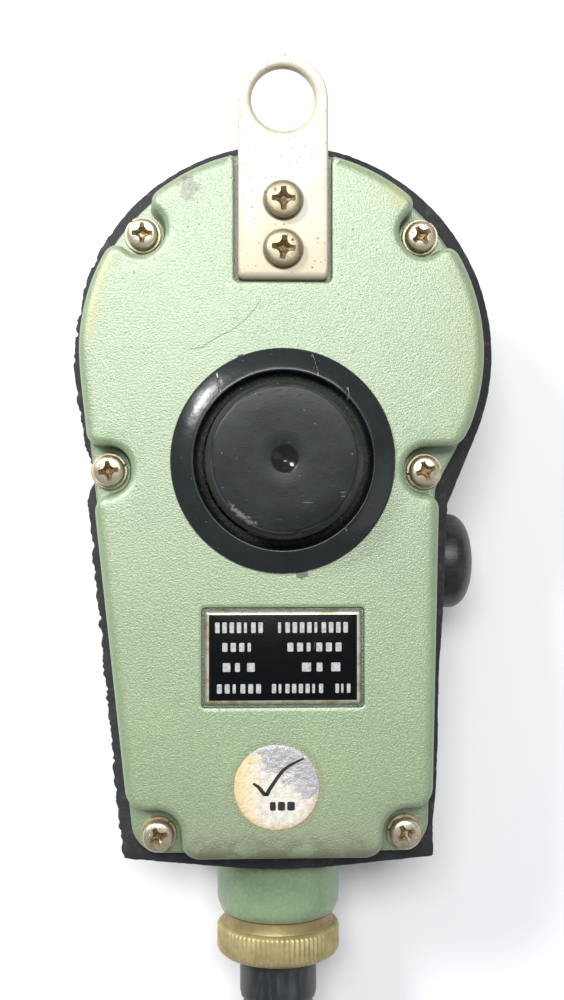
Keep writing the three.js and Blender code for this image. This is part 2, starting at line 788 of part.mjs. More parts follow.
const neckPlace = { axis: "y", at: [0, 0, NECK_Z] };
const cordBore = CORD_RADIUS + FIT_GAP;
const sealBore = GLAND_BORE - 1.9;
const sealSeat = FOOT_Y + 0.6;
const glandShoulder = sealSeat - 7.5;
const clipY = FOOT_Y + 9.1;
const boardY = FOOT_Y + 21.1;

addPiece(
  "gland_seal",
  ring(cordBore, sealBore - FIT_GAP, glandShoulder + 0.2, sealSeat - 0.5, neckPlace),
  "softRubber",
);
addPiece(
  "gland_washer",
  ring(cordBore + 0.4, GLAND_BORE - 0.4, glandShoulder - 1.3, glandShoulder - 0.3, neckPlace),
  "brass",
);

const reliefFlange = glandShoulder - 1.6;
const reliefShoulder = reliefFlange - 2.1;
const reliefEnd = reliefFlange - RELIEF_LENGTH - 2.1;
addPiece(
  "strain_relief",
  turned(
    [
      [cordBore, reliefFlange],
      [cordBore, reliefEnd],
      [CORD_RADIUS + 1.7, reliefEnd],
      [RELIEF_RADIUS, reliefEnd + 24],
      [RELIEF_RADIUS, reliefShoulder],
      [GLAND_BORE - 0.6, reliefShoulder],
      [GLAND_BORE - 0.6, reliefFlange],
    ],
    neckPlace,
  ),
  "blackRubber",
);

/** The round outline of a straight knurl, a ridge and a groove at a time. */
function knurlOutline(radius, depth, ridges) {
  const spokes = circle(1, 0, 0, 2 * ridges);
  return spokes.map((spoke, i) => spoke.multiplyScalar(i % 2 ? radius : radius - depth));
}

const nutBore = RELIEF_RADIUS + FIT_GAP;
const nutFace = NECK_END - 2.6; // where the knurl starts, below the plain collar
const nutEnd = nutFace - 5.6;
const knurl = new THREE.ExtrudeGeometry(new THREE.Shape(knurlOutline(NUT_RADIUS, 0.35, KNURL_RIDGES)), {
  depth: 4.8,
  bevelEnabled: false,
});
knurl.rotateX(Math.PI / 2).translate(0, nutFace, NECK_Z);
addPiece(
  "gland_nut",
  cut(
    join(
      rod(GLAND_BORE - FIT_GAP, NECK_END - 1, reliefShoulder - FIT_GAP, neckPlace),
      rod(NECK_RADIUS - 1.2, nutFace - 1, NECK_END - FIT_GAP, neckPlace),
      solid(knurl),
      rod(NUT_RADIUS - 0.7, nutEnd, nutFace - 4, neckPlace),
    ),
    rod(nutBore, nutEnd - 1, reliefShoulder + 1, neckPlace),
  ),
  "brass",
);

const coreEnd = reliefEnd + 3.1;
addPiece("cord_core", rod(CORD_RADIUS, coreEnd, clipY + 3, neckPlace), "blackRubber");

const clipOuter = cordBore + 1.2;
const clipScrewX = clipOuter + 3.5;
const clipBossTop = NECK_Z - 3.8;
const clipTab = [clipBossTop + 0.2, clipBossTop + 1.4];
const clipHole = rod(smallShank + FIT_GAP, clipTab[0] - 1, clipTab[1] + 1, {
  at: [clipScrewX, clipY, 0],
});
addPiece(
  "cord_clip",
  cut(
    join(
      ring(cordBore, clipOuter, clipY - 2.5, clipY + 2.5, neckPlace),
      block([cordBore + 0.2, clipScrewX + 3], [clipY - 2.5, clipY + 2.5], clipTab),
    ),
    rod(cordBore, clipY - 3, clipY + 3, neckPlace),
    clipHole,
  ),
  "springSteel",
);
addPiece(
  "cord_clip_screw",
  panScrew(smallHead, smallHeadHeight, smallShank, smallScrewLength),
  "nickel",
  [clipScrewX, clipY, clipTab[1] + SEAT_GAP],
);

const boardBottom = NECK_Z - 4;
const boardTop = boardBottom + 1.5;
const boardPegX = 8.6;
const boardPegRadius = 1;
const terminalXs = [-4.8, -1.6, 1.6, 4.8];
addPiece(
  "terminal_board",
  cut(
    join(
      block([-12, 12], [boardY - 5, boardY + 5], [boardBottom, boardTop]),
      ...terminalXs.map((x) =>
        rod(0.9, boardTop - 0.5, boardTop + 2.5, { at: [x, boardY, 0] }),
      ),
    ),
    ...[-1, 1].map((side) =>
      rod(boardPegRadius + FIT_GAP, boardBottom - 1, boardTop + 1, {
        at: [side * boardPegX, boardY, 0],
      }),
    ),
  ),
  "board",
);

// The capsule's lead runs under the switch plate and down to the first terminal
const leadRadius = 0.5;
const leadPath = smoothPath([
  [-9, -9, capsuleBack + 0.8],
  [-9.5, TALK_Y - 1, capsuleBack + 0.8],
  [-9.5, TALK_Y - 9, 13],
  [-8, FOOT_Y + 43, 8],
  [-6.2, FOOT_Y + 30, 10.5],
  [-5, boardY + 3, boardTop + 3.4],
  [terminalXs[0], boardY + 0.5, boardTop + 3.2],
]);
addPiece("capsule_lead", tube(leadPath, leadRadius, 6, 24), "film");

// ---------------------------------------------------------------------------------------------
// Front shell
// ---------------------------------------------------------------------------------------------

const shellBlock = join(
  rolledPlate(caseOutline, 0, SHELL_HEIGHT, SHELL_EDGE_ROLL, 4.5, "bottom"),
  rod(sideBossRadius, sideSeat - 1.4, SIDE_FACE, sidePlace),
  rod(NECK_RADIUS, NECK_END, FOOT_Y + 4, neckPlace),
);

const bossFoot = SHELL_WALL - 0.1;
const sideSwitchPad = block(
  [sideSwitchX[0] + 0.5, sideSwitchX[1] - 0.2],
  [sideSwitchY[0] + 2, sideSwitchY[1] - 0.6],
  [bossFoot, sideSwitchZ[0] - 0.2],
);
const neckRib = block([-4, 4], [FOOT_Y + 1, FOOT_Y + 4], [bossFoot, NECK_Z - NECK_RADIUS + 3]);
const bosses = [
  neckRib,
  ring(wellInner, wellOuter, bossFoot, capsuleBack - 2.6),
  ...coverScrews.map(({ x, y }) => rod(POST_RADIUS, bossFoot, SHELL_HEIGHT, { at: [x, y, 0] })),
  ...[-1, 1].flatMap((side) => [
    rod(clampBossRadius, bossFoot, clampBottom - SEAT_GAP, { at: [side * clampBossX, 0, 0] }),
    rod(switchBossRadius, bossFoot, switchPlateBottom - 0.2, {
      at: [side * switchScrewX, switchScrewY, 0],
    }),
    rod(2.4, bossFoot, boardBottom - SEAT_GAP, { at: [side * boardPegX, boardY, 0] }),
    rod(boardPegRadius, bossFoot, boardTop + 0.6, { at: [side * boardPegX, boardY, 0] }),
  ]),
  rod(clampBossRadius, bossFoot, clipBossTop, { at: [clipScrewX, clipY, 0] }),
  sideSwitchPad,
  rod(sideBossRadius, sideSeat - 1.4, SIDE_FACE, sidePlace),
  rod(sideInnerBossRadius, sideInnerBossEnd, SIDE_FACE, sidePlace),
  rod(NECK_RADIUS, NECK_END, FOOT_Y + 4, neckPlace),
];
const shellRoom = cut(
  plate(inset(caseOutline, SHELL_WALL), SHELL_WALL, SHELL_HEIGHT + 1),
  ...bosses,
);

const smallTap = smallShank + 0.2;
const smallTapDepth = 6.5;
const tapAt = (x, y, top) => rod(smallTap, top - smallTapDepth, top + 1, { at: [x, y, 0] });
const shellHoles = [
  rod(GRILLE_RADIUS + FIT_GAP, -1, grilleSeat),
  rod(clothRadius + FIT_GAP, -1, SHELL_WALL + 1),
  ...coverScrews.map(({ x, y }) =>
    rod(COVER_SCREW_SHANK + 0.35, SHELL_HEIGHT - 12, SHELL_HEIGHT + 1, { at: [x, y, 0] }),
  ),
  ...[-1, 1].flatMap((side) => [
    tapAt(side * clampBossX, 0, clampBottom - SEAT_GAP),
    tapAt(side * switchScrewX, switchScrewY, switchPlateBottom - 0.2),
  ]),
  tapAt(clipScrewX, clipY, clipBossTop),
  rod(SIDE_RADIUS + 0.35, sideSeat, SIDE_FACE + 1, sidePlace),
  rod(SIDE_STEM_RADIUS + 0.4, sideInnerBossEnd - 1, sideSeat + 1, sidePlace),
  rod(GLAND_BORE, NECK_END - 1, glandShoulder, neckPlace),
  rod(sealBore, glandShoulder - 1, sealSeat, neckPlace),
  rod(cordBore + 2.2, sealSeat - 1, FOOT_Y + 5, neckPlace),
];
addPiece("front_shell", cut(shellBlock, shellRoom, ...shellHoles), "greenEnamel");

// ---------------------------------------------------------------------------------------------
// Gasket
// ---------------------------------------------------------------------------------------------

const gasketHeadRadius = HEAD_RADIUS + GASKET_OVERHANG;
const gasketKnee = [KNEE_X + GASKET_OVERHANG + 0.3, KNEE_Y - GASKET_OVERHANG - 0.5];
const gasketFootLeft = [-FOOT_HALF_WIDTH - GASKET_OVERHANG, FOOT_Y - 1.5];
const gasketFootRight = [FOOT_HALF_WIDTH + GASKET_OVERHANG - 0.9, FOOT_Y - 1.7];
const gasketTangent = (from, side) =>
  tangentCorner(GASKET_SHIFT_X, GASKET_SHIFT_Y, gasketHeadRadius, ...from, side);
const gasketOutline = roundedOutline([
  [...gasketFootRight, 0],
  [...gasketKnee, 0],
  gasketTangent(gasketKnee, 1),
  gasketTangent(gasketFootLeft, -1),
  [...gasketFootLeft, 0],
  [0, FOOT_Y - GASKET_BULGE, 100],
]);
const gasketHoles = coverScrews.map(({ x, y }) => circle(COVER_SCREW_SHANK + 0.6, x, y));
addPiece(
  "gasket",
  plate(gasketOutline, SHELL_HEIGHT + SEAT_GAP, COVER_Z - SEAT_GAP, [
    inset(caseOutline, GASKET_BAND),
    ...gasketHoles,
  ]),
  "softRubber",
);

// ---------------------------------------------------------------------------------------------
// Rear cover
// ---------------------------------------------------------------------------------------------

const hangerEnd = HEAD_RADIUS + HANGER_EYE_ABOVE_HEAD + HANGER_HALF_WIDTH - HANGER_LENGTH;
const hangerBottom = BACK_Z - HANGER_RECESS;
const hangerTop = hangerBottom + HANGER_THICKNESS;
const hangerSlotHalf = HANGER_HALF_WIDTH + 0.65;
const hangerSlotEnd = hangerEnd - 0.45;
const hangerPadBottom = COVER_Z + 3;
const pocketFloorZ = COVER_Z + POCKET_FLOOR;
const recessDepth = 0.7;
const nameplateY = FOOT_Y + NAMEPLATE_FROM_FOOT;

const coverRoom = cut(
  plate(inset(caseOutline, COVER_WALL), COVER_Z - 1, COVER_CEILING),
  ...coverScrews.map(({ x, y }) =>
    rod(POCKET_RADIUS + 1.9, COVER_Z, BACK_Z, { at: [x, y, 0] }),
  ),
  block(
    [-hangerSlotHalf - 2, hangerSlotHalf + 2],
    [hangerSlotEnd - 2.5, HEAD_RADIUS],
    [hangerPadBottom, BACK_Z],
  ),
);
const rivets = [-1, 1].map((side) =>
  rod(rivetRadius, guideBottom - 1.1, COVER_CEILING + 0.5, {
    at: [0, TALK_Y + side * guideRivet, 0],
  }),
);
const hangerScrewYs = HANGER_SCREWS_FROM_END.map((distance) => hangerEnd + distance);
const coverHoles = [
  ...coverScrews.flatMap((screw) => [
    plate(pocketOutline(screw), pocketFloorZ, BACK_Z + 1),
    rod(COVER_SCREW_SHANK + 0.5, COVER_Z - 1, pocketFloorZ + 1, { at: [screw.x, screw.y, 0] }),
  ]),
  rod(openingRadius, COVER_CEILING - 1, BACK_Z + 1, talkPlace),
  rod(bootFlange + FIT_GAP, COVER_Z - 1, COVER_CEILING, talkPlace),
  block(
    [-hangerSlotHalf, hangerSlotHalf],
    [hangerSlotEnd, HEAD_RADIUS + 2],
    [hangerBottom - SEAT_GAP, BACK_Z + 1],
  ),
  ...hangerScrewYs.map((y) =>
    rod(HANGER_SCREW_SHANK + 0.35, hangerPadBottom - 1, hangerBottom + 1, { at: [0, y, 0] }),
  ),
  block(
    [-NAMEPLATE_WIDTH / 2 - FIT_GAP, NAMEPLATE_WIDTH / 2 + FIT_GAP],
    [nameplateY - NAMEPLATE_LENGTH / 2 - FIT_GAP, nameplateY + NAMEPLATE_LENGTH / 2 + FIT_GAP],
    [BACK_Z - recessDepth, BACK_Z + 1],
  ),
];
const coverBlock = rolledPlate(caseOutline, COVER_Z, BACK_Z, COVER_EDGE_ROLL, 1.8, "top");
addPiece("rear_cover", join(cut(coverBlock, coverRoom, ...coverHoles), ...rivets), "greenEnamel");

coverScrews.forEach(({ x, y }, i) => {
  const washerBottom = pocketFloorZ + SEAT_GAP;
  const headBottom = washerBottom + WASHER_THICKNESS + SEAT_GAP;
  const washer = cut(
    ring(COVER_SCREW_SHANK + 0.55, WASHER_RADIUS, 0, WASHER_THICKNESS),
    block([0, WASHER_RADIUS + 1], [-0.25, 0.25], [-1, WASHER_THICKNESS + 1]),
  );
  const screw = panScrew(COVER_SCREW_HEAD, COVER_SCREW_HEAD_HEIGHT, COVER_SCREW_SHANK, COVER_SCREW_DEPTH);
  addPiece(`lock_washer_${i + 1}`, washer, "nickel", [x, y, washerBottom]);
  addPiece(`cover_screw_${i + 1}`, screw, "nickel", [x, y, headBottom]);
});

// ---------------------------------------------------------------------------------------------
// Hanger bracket
// ---------------------------------------------------------------------------------------------

const hangerEyeY = HEAD_RADIUS + HANGER_EYE_ABOVE_HEAD;
const hangerCrown = hangerEyeY + HANGER_HALF_WIDTH;
const hangerOutline = roundedOutline([
  [HANGER_HALF_WIDTH, hangerEnd, 0.9],
  [HANGER_HALF_WIDTH, hangerCrown, HANGER_HALF_WIDTH],
  [-HANGER_HALF_WIDTH, hangerCrown, HANGER_HALF_WIDTH],
  [-HANGER_HALF_WIDTH, hangerEnd, 0.9],
]);
addPiece(
  "hanger_bracket",
  plate(hangerOutline, hangerBottom, hangerTop, [
    circle(HANGER_EYE_RADIUS, 0, hangerEyeY),
    ...hangerScrewYs.map((y) => circle(HANGER_SCREW_SHANK + 0.6, 0, y)),
  ]),
  "nickel",
);
hangerScrewYs.forEach((y, i) => {
  const length = hangerTop + SEAT_GAP - hangerPadBottom - 0.3;
  const screw = panScrew(HANGER_SCREW_HEAD, 2.2, HANGER_SCREW_SHANK, length);
  addPiece(`hanger_screw_${i + 1}`, screw, "nickel", [0, y, hangerTop + SEAT_GAP]);
});

// ---------------------------------------------------------------------------------------------
// Nameplate and inspection label
// ---------------------------------------------------------------------------------------------

const nameplateTop = BACK_Z - 0.1;
const nameplateBorder = 0.6;
const nameplateBox = (margin) => [
  [-NAMEPLATE_WIDTH / 2 + margin, NAMEPLATE_WIDTH / 2 - margin],
  [nameplateY - NAMEPLATE_LENGTH / 2 + margin, nameplateY + NAMEPLATE_LENGTH / 2 - margin],
];
addPiece(
  "nameplate",
  cut(
    block(...nameplateBox(0), [nameplateTop - 0.5, nameplateTop]),
    block(...nameplateBox(nameplateBorder), [nameplateTop - 0.12, nameplateTop + 1]),
  ),
  "plateBlack",
);
addPiece(
  "inspection_label",
  rod(LABEL_RADIUS, BACK_Z + SEAT_GAP, BACK_Z + SEAT_GAP + 0.15, {
    at: [-1.1, FOOT_Y + LABEL_FROM_FOOT, 0],
  }),
  "paper",
);

// ---------------------------------------------------------------------------------------------
// Free cord: it drops from the strain relief, is wound into a storage coil, and ends in a plug
// ---------------------------------------------------------------------------------------------

const exitY = coreEnd - 0.4;
const alongCord = (points) => points.map(([x, y, z]) => [x, exitY + y, z]);

const coilCentreY = exitY - 94.7;
const coilMiddleRadii = [27, 48]; // centre lines of the innermost and the outermost turn
const coilLayers = 2;
const coilHeight = 2 * CORD_RADIUS * coilLayers;

/** The space a wound coil fills, grown all round by a gap. */
function coilSpace(gap) {
  const inner = coilMiddleRadii[0] - CORD_RADIUS - gap;
  const outer = coilMiddleRadii[1] + CORD_RADIUS + gap;
  const soft = 2;
  return turned(
    [
      [inner, soft - gap],
      [inner + soft, -gap],
      [outer - soft, -gap],
      [outer, soft - gap],
      [outer, coilHeight - soft + gap],
      [outer - soft, coilHeight + gap],
      [inner + soft, coilHeight + gap],
      [inner, coilHeight - soft + gap],
    ],
    { at: [0, coilCentreY, 0] },
  );
}

const leadOut = smoothPath(
  alongCord([
    [0, 0, NECK_Z],
    [0, -5.7, NECK_Z],
    [0, -11.7, NECK_Z - 0.6],
    [0.6, -19.7, 11.4],
    [3, -28.7, 8.4],
    [8, -37.7, 5.8],
    [11.4, -42, 4.9],
  ]),
);
addPiece("cord_lead", cut(tube(leadOut, CORD_RADIUS, 10, 12), coilSpace(FIT_GAP)), "blackRubber");
addPiece("cord_coil", coilSpace(0), "blackRubber");

const plugX = -33;
const plugZ = 7.6;
const plugBack = exitY - 47.7;
const plugSleeveRadius = 7.2;
const plugSleeveLength = 30;
const tailPath = smoothPath([
  [plugX - 3.2, plugBack - 12.2, plugZ + 0.8],
  [plugX - 1.2, plugBack - 7, plugZ + 0.3],
  [plugX - 0.1, plugBack - 2.5, plugZ],
  [plugX, plugBack - FIT_GAP - 0.1, plugZ],
]);
addPiece("cord_tail", cut(tube(tailPath, CORD_RADIUS, 10, 4), coilSpace(FIT_GAP)), "blackRubber");

const plugPlace = { axis: "y", at: [plugX, 0, plugZ] };
const plugFront = plugBack + plugSleeveLength;
addPiece(
  "plug_sleeve",
  turned(
    [
      [0, plugBack],
      [plugSleeveRadius - 2.6, plugBack],
      [plugSleeveRadius - 0.9, plugBack + 4],
      [plugSleeveRadius, plugBack + 8],
      [plugSleeveRadius, plugFront - 1],
      [plugSleeveRadius - 1, plugFront],
      [0, plugFront],
    ],
    plugPlace,
  ),
  "blackPlastic",
);
const jackRadius = 3.17;
const jackStart = plugFront + 0.2;
addPiece(
  "plug_contact",
  turned(
    [
      [0, jackStart],
      [5, jackStart],
      [5, jackStart + 1.4],
      [jackRadius, jackStart + 1.4],
      [jackRadius, jackStart + 22],
      [2.2, jackStart + 23.5],
      [2.9, jackStart + 25.3],
      [1, jackStart + 28],
      [0, jackStart + 28],
    ],
    plugPlace,
  ),
  "nickel",
);

export default microphone;
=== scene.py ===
"""Looks of a hand microphone with an enamelled die-cast case, in the frame of its CAD model."""

import json
import math

import bpy
from mathutils import Matrix, Vector, noise
from mathutils.geometry import delaunay_2d_cdt
from mathutils.kdtree import KDTree


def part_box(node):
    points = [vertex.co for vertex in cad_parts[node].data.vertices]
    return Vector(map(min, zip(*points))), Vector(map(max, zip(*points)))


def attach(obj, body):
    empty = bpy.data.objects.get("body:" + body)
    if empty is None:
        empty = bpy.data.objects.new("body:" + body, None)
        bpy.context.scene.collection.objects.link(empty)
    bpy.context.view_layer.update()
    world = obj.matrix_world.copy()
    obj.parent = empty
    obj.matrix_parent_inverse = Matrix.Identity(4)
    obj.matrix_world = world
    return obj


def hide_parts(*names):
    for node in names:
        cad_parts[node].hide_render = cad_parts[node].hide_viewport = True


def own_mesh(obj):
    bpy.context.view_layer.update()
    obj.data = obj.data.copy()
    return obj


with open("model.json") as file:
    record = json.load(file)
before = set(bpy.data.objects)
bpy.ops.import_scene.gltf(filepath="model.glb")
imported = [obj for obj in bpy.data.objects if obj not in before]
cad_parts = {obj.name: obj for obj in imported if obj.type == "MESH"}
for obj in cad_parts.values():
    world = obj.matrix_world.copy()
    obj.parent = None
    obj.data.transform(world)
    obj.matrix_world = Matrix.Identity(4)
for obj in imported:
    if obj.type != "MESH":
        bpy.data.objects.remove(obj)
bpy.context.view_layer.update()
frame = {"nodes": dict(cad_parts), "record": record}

MM = 0.001

# Places and heights on the case, in millimetres. Z = 0 is the table that the front lies on.
HEAD = 35.3  # radius of the round head, whose centre is at x = 0, y = 0
TOP = 36.5  # back of the raised panel
JOINT = 28.5  # where the cover meets the gasket
POCKET_FLOOR = 31.0
SLOT_FLOOR = 34.6
KNEE = (27.4, -23.7)  # corner of the right side
FOOT_X = 26  # half the width at the foot
FOOT_Y = -88.1
LEFT_TANGENT = (-35.095, -3.79)
RIGHT_TANGENT = (31.2, -16.52)
TALK = Vector((0, -19))  # middle of the talk button
PLATE_Y = -53  # middle of the nameplate
LABEL = (-1.1, -75.35)  # middle of the round label
LABEL_RADIUS = 7.35
EYE_Y = 43.55  # middle of the hanger's eye
HANGER_SCREW_YS = (17.5, 25.9)
HANGER_HALF_WIDTH = 7.8
SLOT_HALF_WIDTH = 8.45
HEAD_SCREW = (24.48, 20.76)  # right one of the two cover screws on the head
SIDE_AXIS = (-37.3, 14)  # y and z of the side button
GLAND_AXIS = (0, 14)  # x and z of the neck, the nut and the sleeve


def box_mm(node):
    """Lowest and highest corner of a CAD node, in millimetres."""
    low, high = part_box(node)
    return Vector(low) / MM, Vector(high) / MM


# ---------------------------------------------------------------------------------------------
# Camera
# ---------------------------------------------------------------------------------------------

def aim(thing, place, target):
    """Put a camera or lamp at a place, in metres, looking at a target with +Y up."""
    back = (Vector(place) - Vector(target)).normalized()
    right = Vector((0, 1, 0)).cross(back).normalized()
    turn = Matrix((right, back.cross(right), back)).transposed()
    thing.matrix_world = Matrix.Translation(place) @ turn.to_4x4()


camera = bpy.data.objects.new("camera", bpy.data.cameras.new("camera"))
camera.data.sensor_width = 36
camera.data.lens = 44.82
camera.data.clip_start = 0.01
bpy.context.collection.objects.link(camera)
aim(camera, (-0.00914, -0.02662, 0.2512), (-0.0002, -0.0258, 0.0365))
bpy.context.scene.camera = camera


# ---------------------------------------------------------------------------------------------
# Finishes
# ---------------------------------------------------------------------------------------------

class Number:
    """A number that a node gives out. Python arithmetic on it adds Math nodes."""

    def __init__(self, finish, socket):
        self.finish = finish
        self.socket = socket

    def __add__(self, other):
        return self.finish.math("ADD", self, other)

    def __sub__(self, other):
        return self.finish.math("SUBTRACT", self, other)

    def __mul__(self, other):
        return self.finish.math("MULTIPLY", self, other)

    def __truediv__(self, other):
        return self.finish.math("DIVIDE", self, other)

    def __pow__(self, other):
        return self.finish.math("POWER", self, other)

    def __rsub__(self, other):
        return self.finish.math("SUBTRACT", other, self)

    def __rtruediv__(self, other):
        return self.finish.math("DIVIDE", other, self)

    __radd__ = __add__
    __rmul__ = __mul__


class Finish:
    """A material whose colour, gloss and relief come from nodes."""

    def __init__(self, name):
        self.material = bpy.data.materials.new(name)
        self.material.use_nodes = True
        self.tree = self.material.node_tree
        self.shader = self.tree.nodes["Principled BSDF"]
        place = self.node("ShaderNodeTexCoord").outputs["Object"]
        self.place = self.node(
            "ShaderNodeVectorMath", {"operation": "SCALE"}, {"Vector": place, "Scale": 1000}
        ).outputs["Vector"]
        split = self.node("ShaderNodeSeparateXYZ", {}, {"Vector": self.place})
        self.x, self.y, self.z = (Number(self, split.outputs[i]) for i in range(3))

    def node(self, kind, settings=None, sockets=None):
        """Add a node: its settings first, then the values or links of its sockets."""
        made = self.tree.nodes.new(kind)
        for key, value in (settings or {}).items():
            setattr(made, key, value)
        for key, value in (sockets or {}).items():
            self.feed(made.inputs[key], value)
        return made

    def feed(self, socket, value):
        """Give a socket a plain value, or the link that the value stands for."""
        if isinstance(value, Number):
            value = value.socket
        if isinstance(value, bpy.types.NodeSocket):
            self.tree.links.new(value, socket)
        else:
            socket.default_value = value

    def math(self, operation, first, second=0.0):
        made = self.node("ShaderNodeMath", {"operation": operation}, {0: first, 1: second})
        return Number(self, made.outputs[0])

    def size(self, number):
        return self.math("ABSOLUTE", number)

    def larger(self, first, second):
        return self.math("MAXIMUM", first, second)

    def smaller(self, first, second):
        return self.math("MINIMUM", first, second)

    def rise(self, number, low, high):
        """0 below low and 1 above high, smooth between; the other way round if low > high."""
        first, last = (0.0, 1.0) if low < high else (1.0, 0.0)
        made = self.node(
            "ShaderNodeMapRange",
            {"interpolation_type": "SMOOTHSTEP"},
            {
                "Value": number, "From Min": min(low, high), "From Max": max(low, high),
                "To Min": first, "To Max": last,
            },
        )
        return Number(self, made.outputs["Result"])

    def stretched(self, along, move=(0, 0, 0)):
        """The place in millimetres, scaled along each axis and moved."""
        made = self.node(
            "ShaderNodeMapping", {}, {"Vector": self.place, "Scale": along, "Location": move}
        )
        return made.outputs["Vector"]

    def grain(self, per_mm, detail=2.0, rough=0.5, along=(1, 1, 1), move=(0, 0, 0)):
        """Cloudy noise from 0 to 1 with so many features to the millimetre."""
        made = self.node(
            "ShaderNodeTexNoise",
            {"noise_dimensions": "3D"},
            {
                "Vector": self.stretched(along, move), "Scale": per_mm,
                "Detail": detail, "Roughness": rough,
            },
        )
        return Number(self, made.outputs["Fac"])

    def cells(self, per_mm, move=(0, 0, 0)):
        """Distance from the nearest of scattered points, so many to the millimetre."""
        made = self.node(
            "ShaderNodeTexVoronoi",
            {"feature": "F1"},
            {"Vector": self.stretched((1, 1, 1), move), "Scale": per_mm, "Randomness": 1.0},
        )
        return Number(self, made.outputs["Distance"])

    def near(self, x, y):
        """Distance in millimetres from an upright line at (x, y)."""
        across = self.x - x
        up = self.y - y
        return (across * across + up * up) ** 0.5

    def line(self, start, end, width, wander=0.0):
        """1 on a straight scratch from start to end and 0 off it, with a wandering edge."""
        (ax, ay), (bx, by) = start, end
        dx, dy = bx - ax, by - ay
        length = math.hypot(dx, dy)
        along = ((self.x - ax) * dx + (self.y - ay) * dy) / length
        across = ((self.x - ax) * -dy + (self.y - ay) * dx) / length
        if wander:
            across = across + (self.grain(0.9, 3) - 0.5) * wander
        middle = self.size(along - length / 2)
        inside = self.rise(middle, length / 2, length / 2 - min(length * 0.4, 1.2))
        return self.rise(self.size(across), width, width * 0.35) * inside

    def mixed(self, share, first, second):
        """One colour turning into another by a share from 0 to 1."""
        made = self.node(
            "ShaderNodeMix", {"data_type": "RGBA"}, {"Factor": share, 6: first, 7: second}
        )
        return made.outputs[2]

    def relief(self, height, depth, under=None):
        """A normal for a height from 0 to 1 that stands so many millimetres deep."""
        sockets = {"Height": height, "Distance": depth * MM, "Strength": 1.0}
        if under is not None:
            sockets["Normal"] = under
        return self.node("ShaderNodeBump", {}, sockets).outputs["Normal"]

    def set(self, **sockets):
        """Values or links for the shader's own sockets, their spaces written as _."""
        for key, value in sockets.items():
            self.feed(self.shader.inputs[key.replace("_", " ")], value)
        return self.material


def colour(red, green, blue):
    """A linear colour from red, green and blue as seen on screen, 0 to 255."""
    def linear(level):
        level /= 255
        return level / 12.92 if level <= 0.04045 else ((level + 0.055) / 1.055) ** 2.4
    return linear(red), linear(green), linear(blue), 1.0


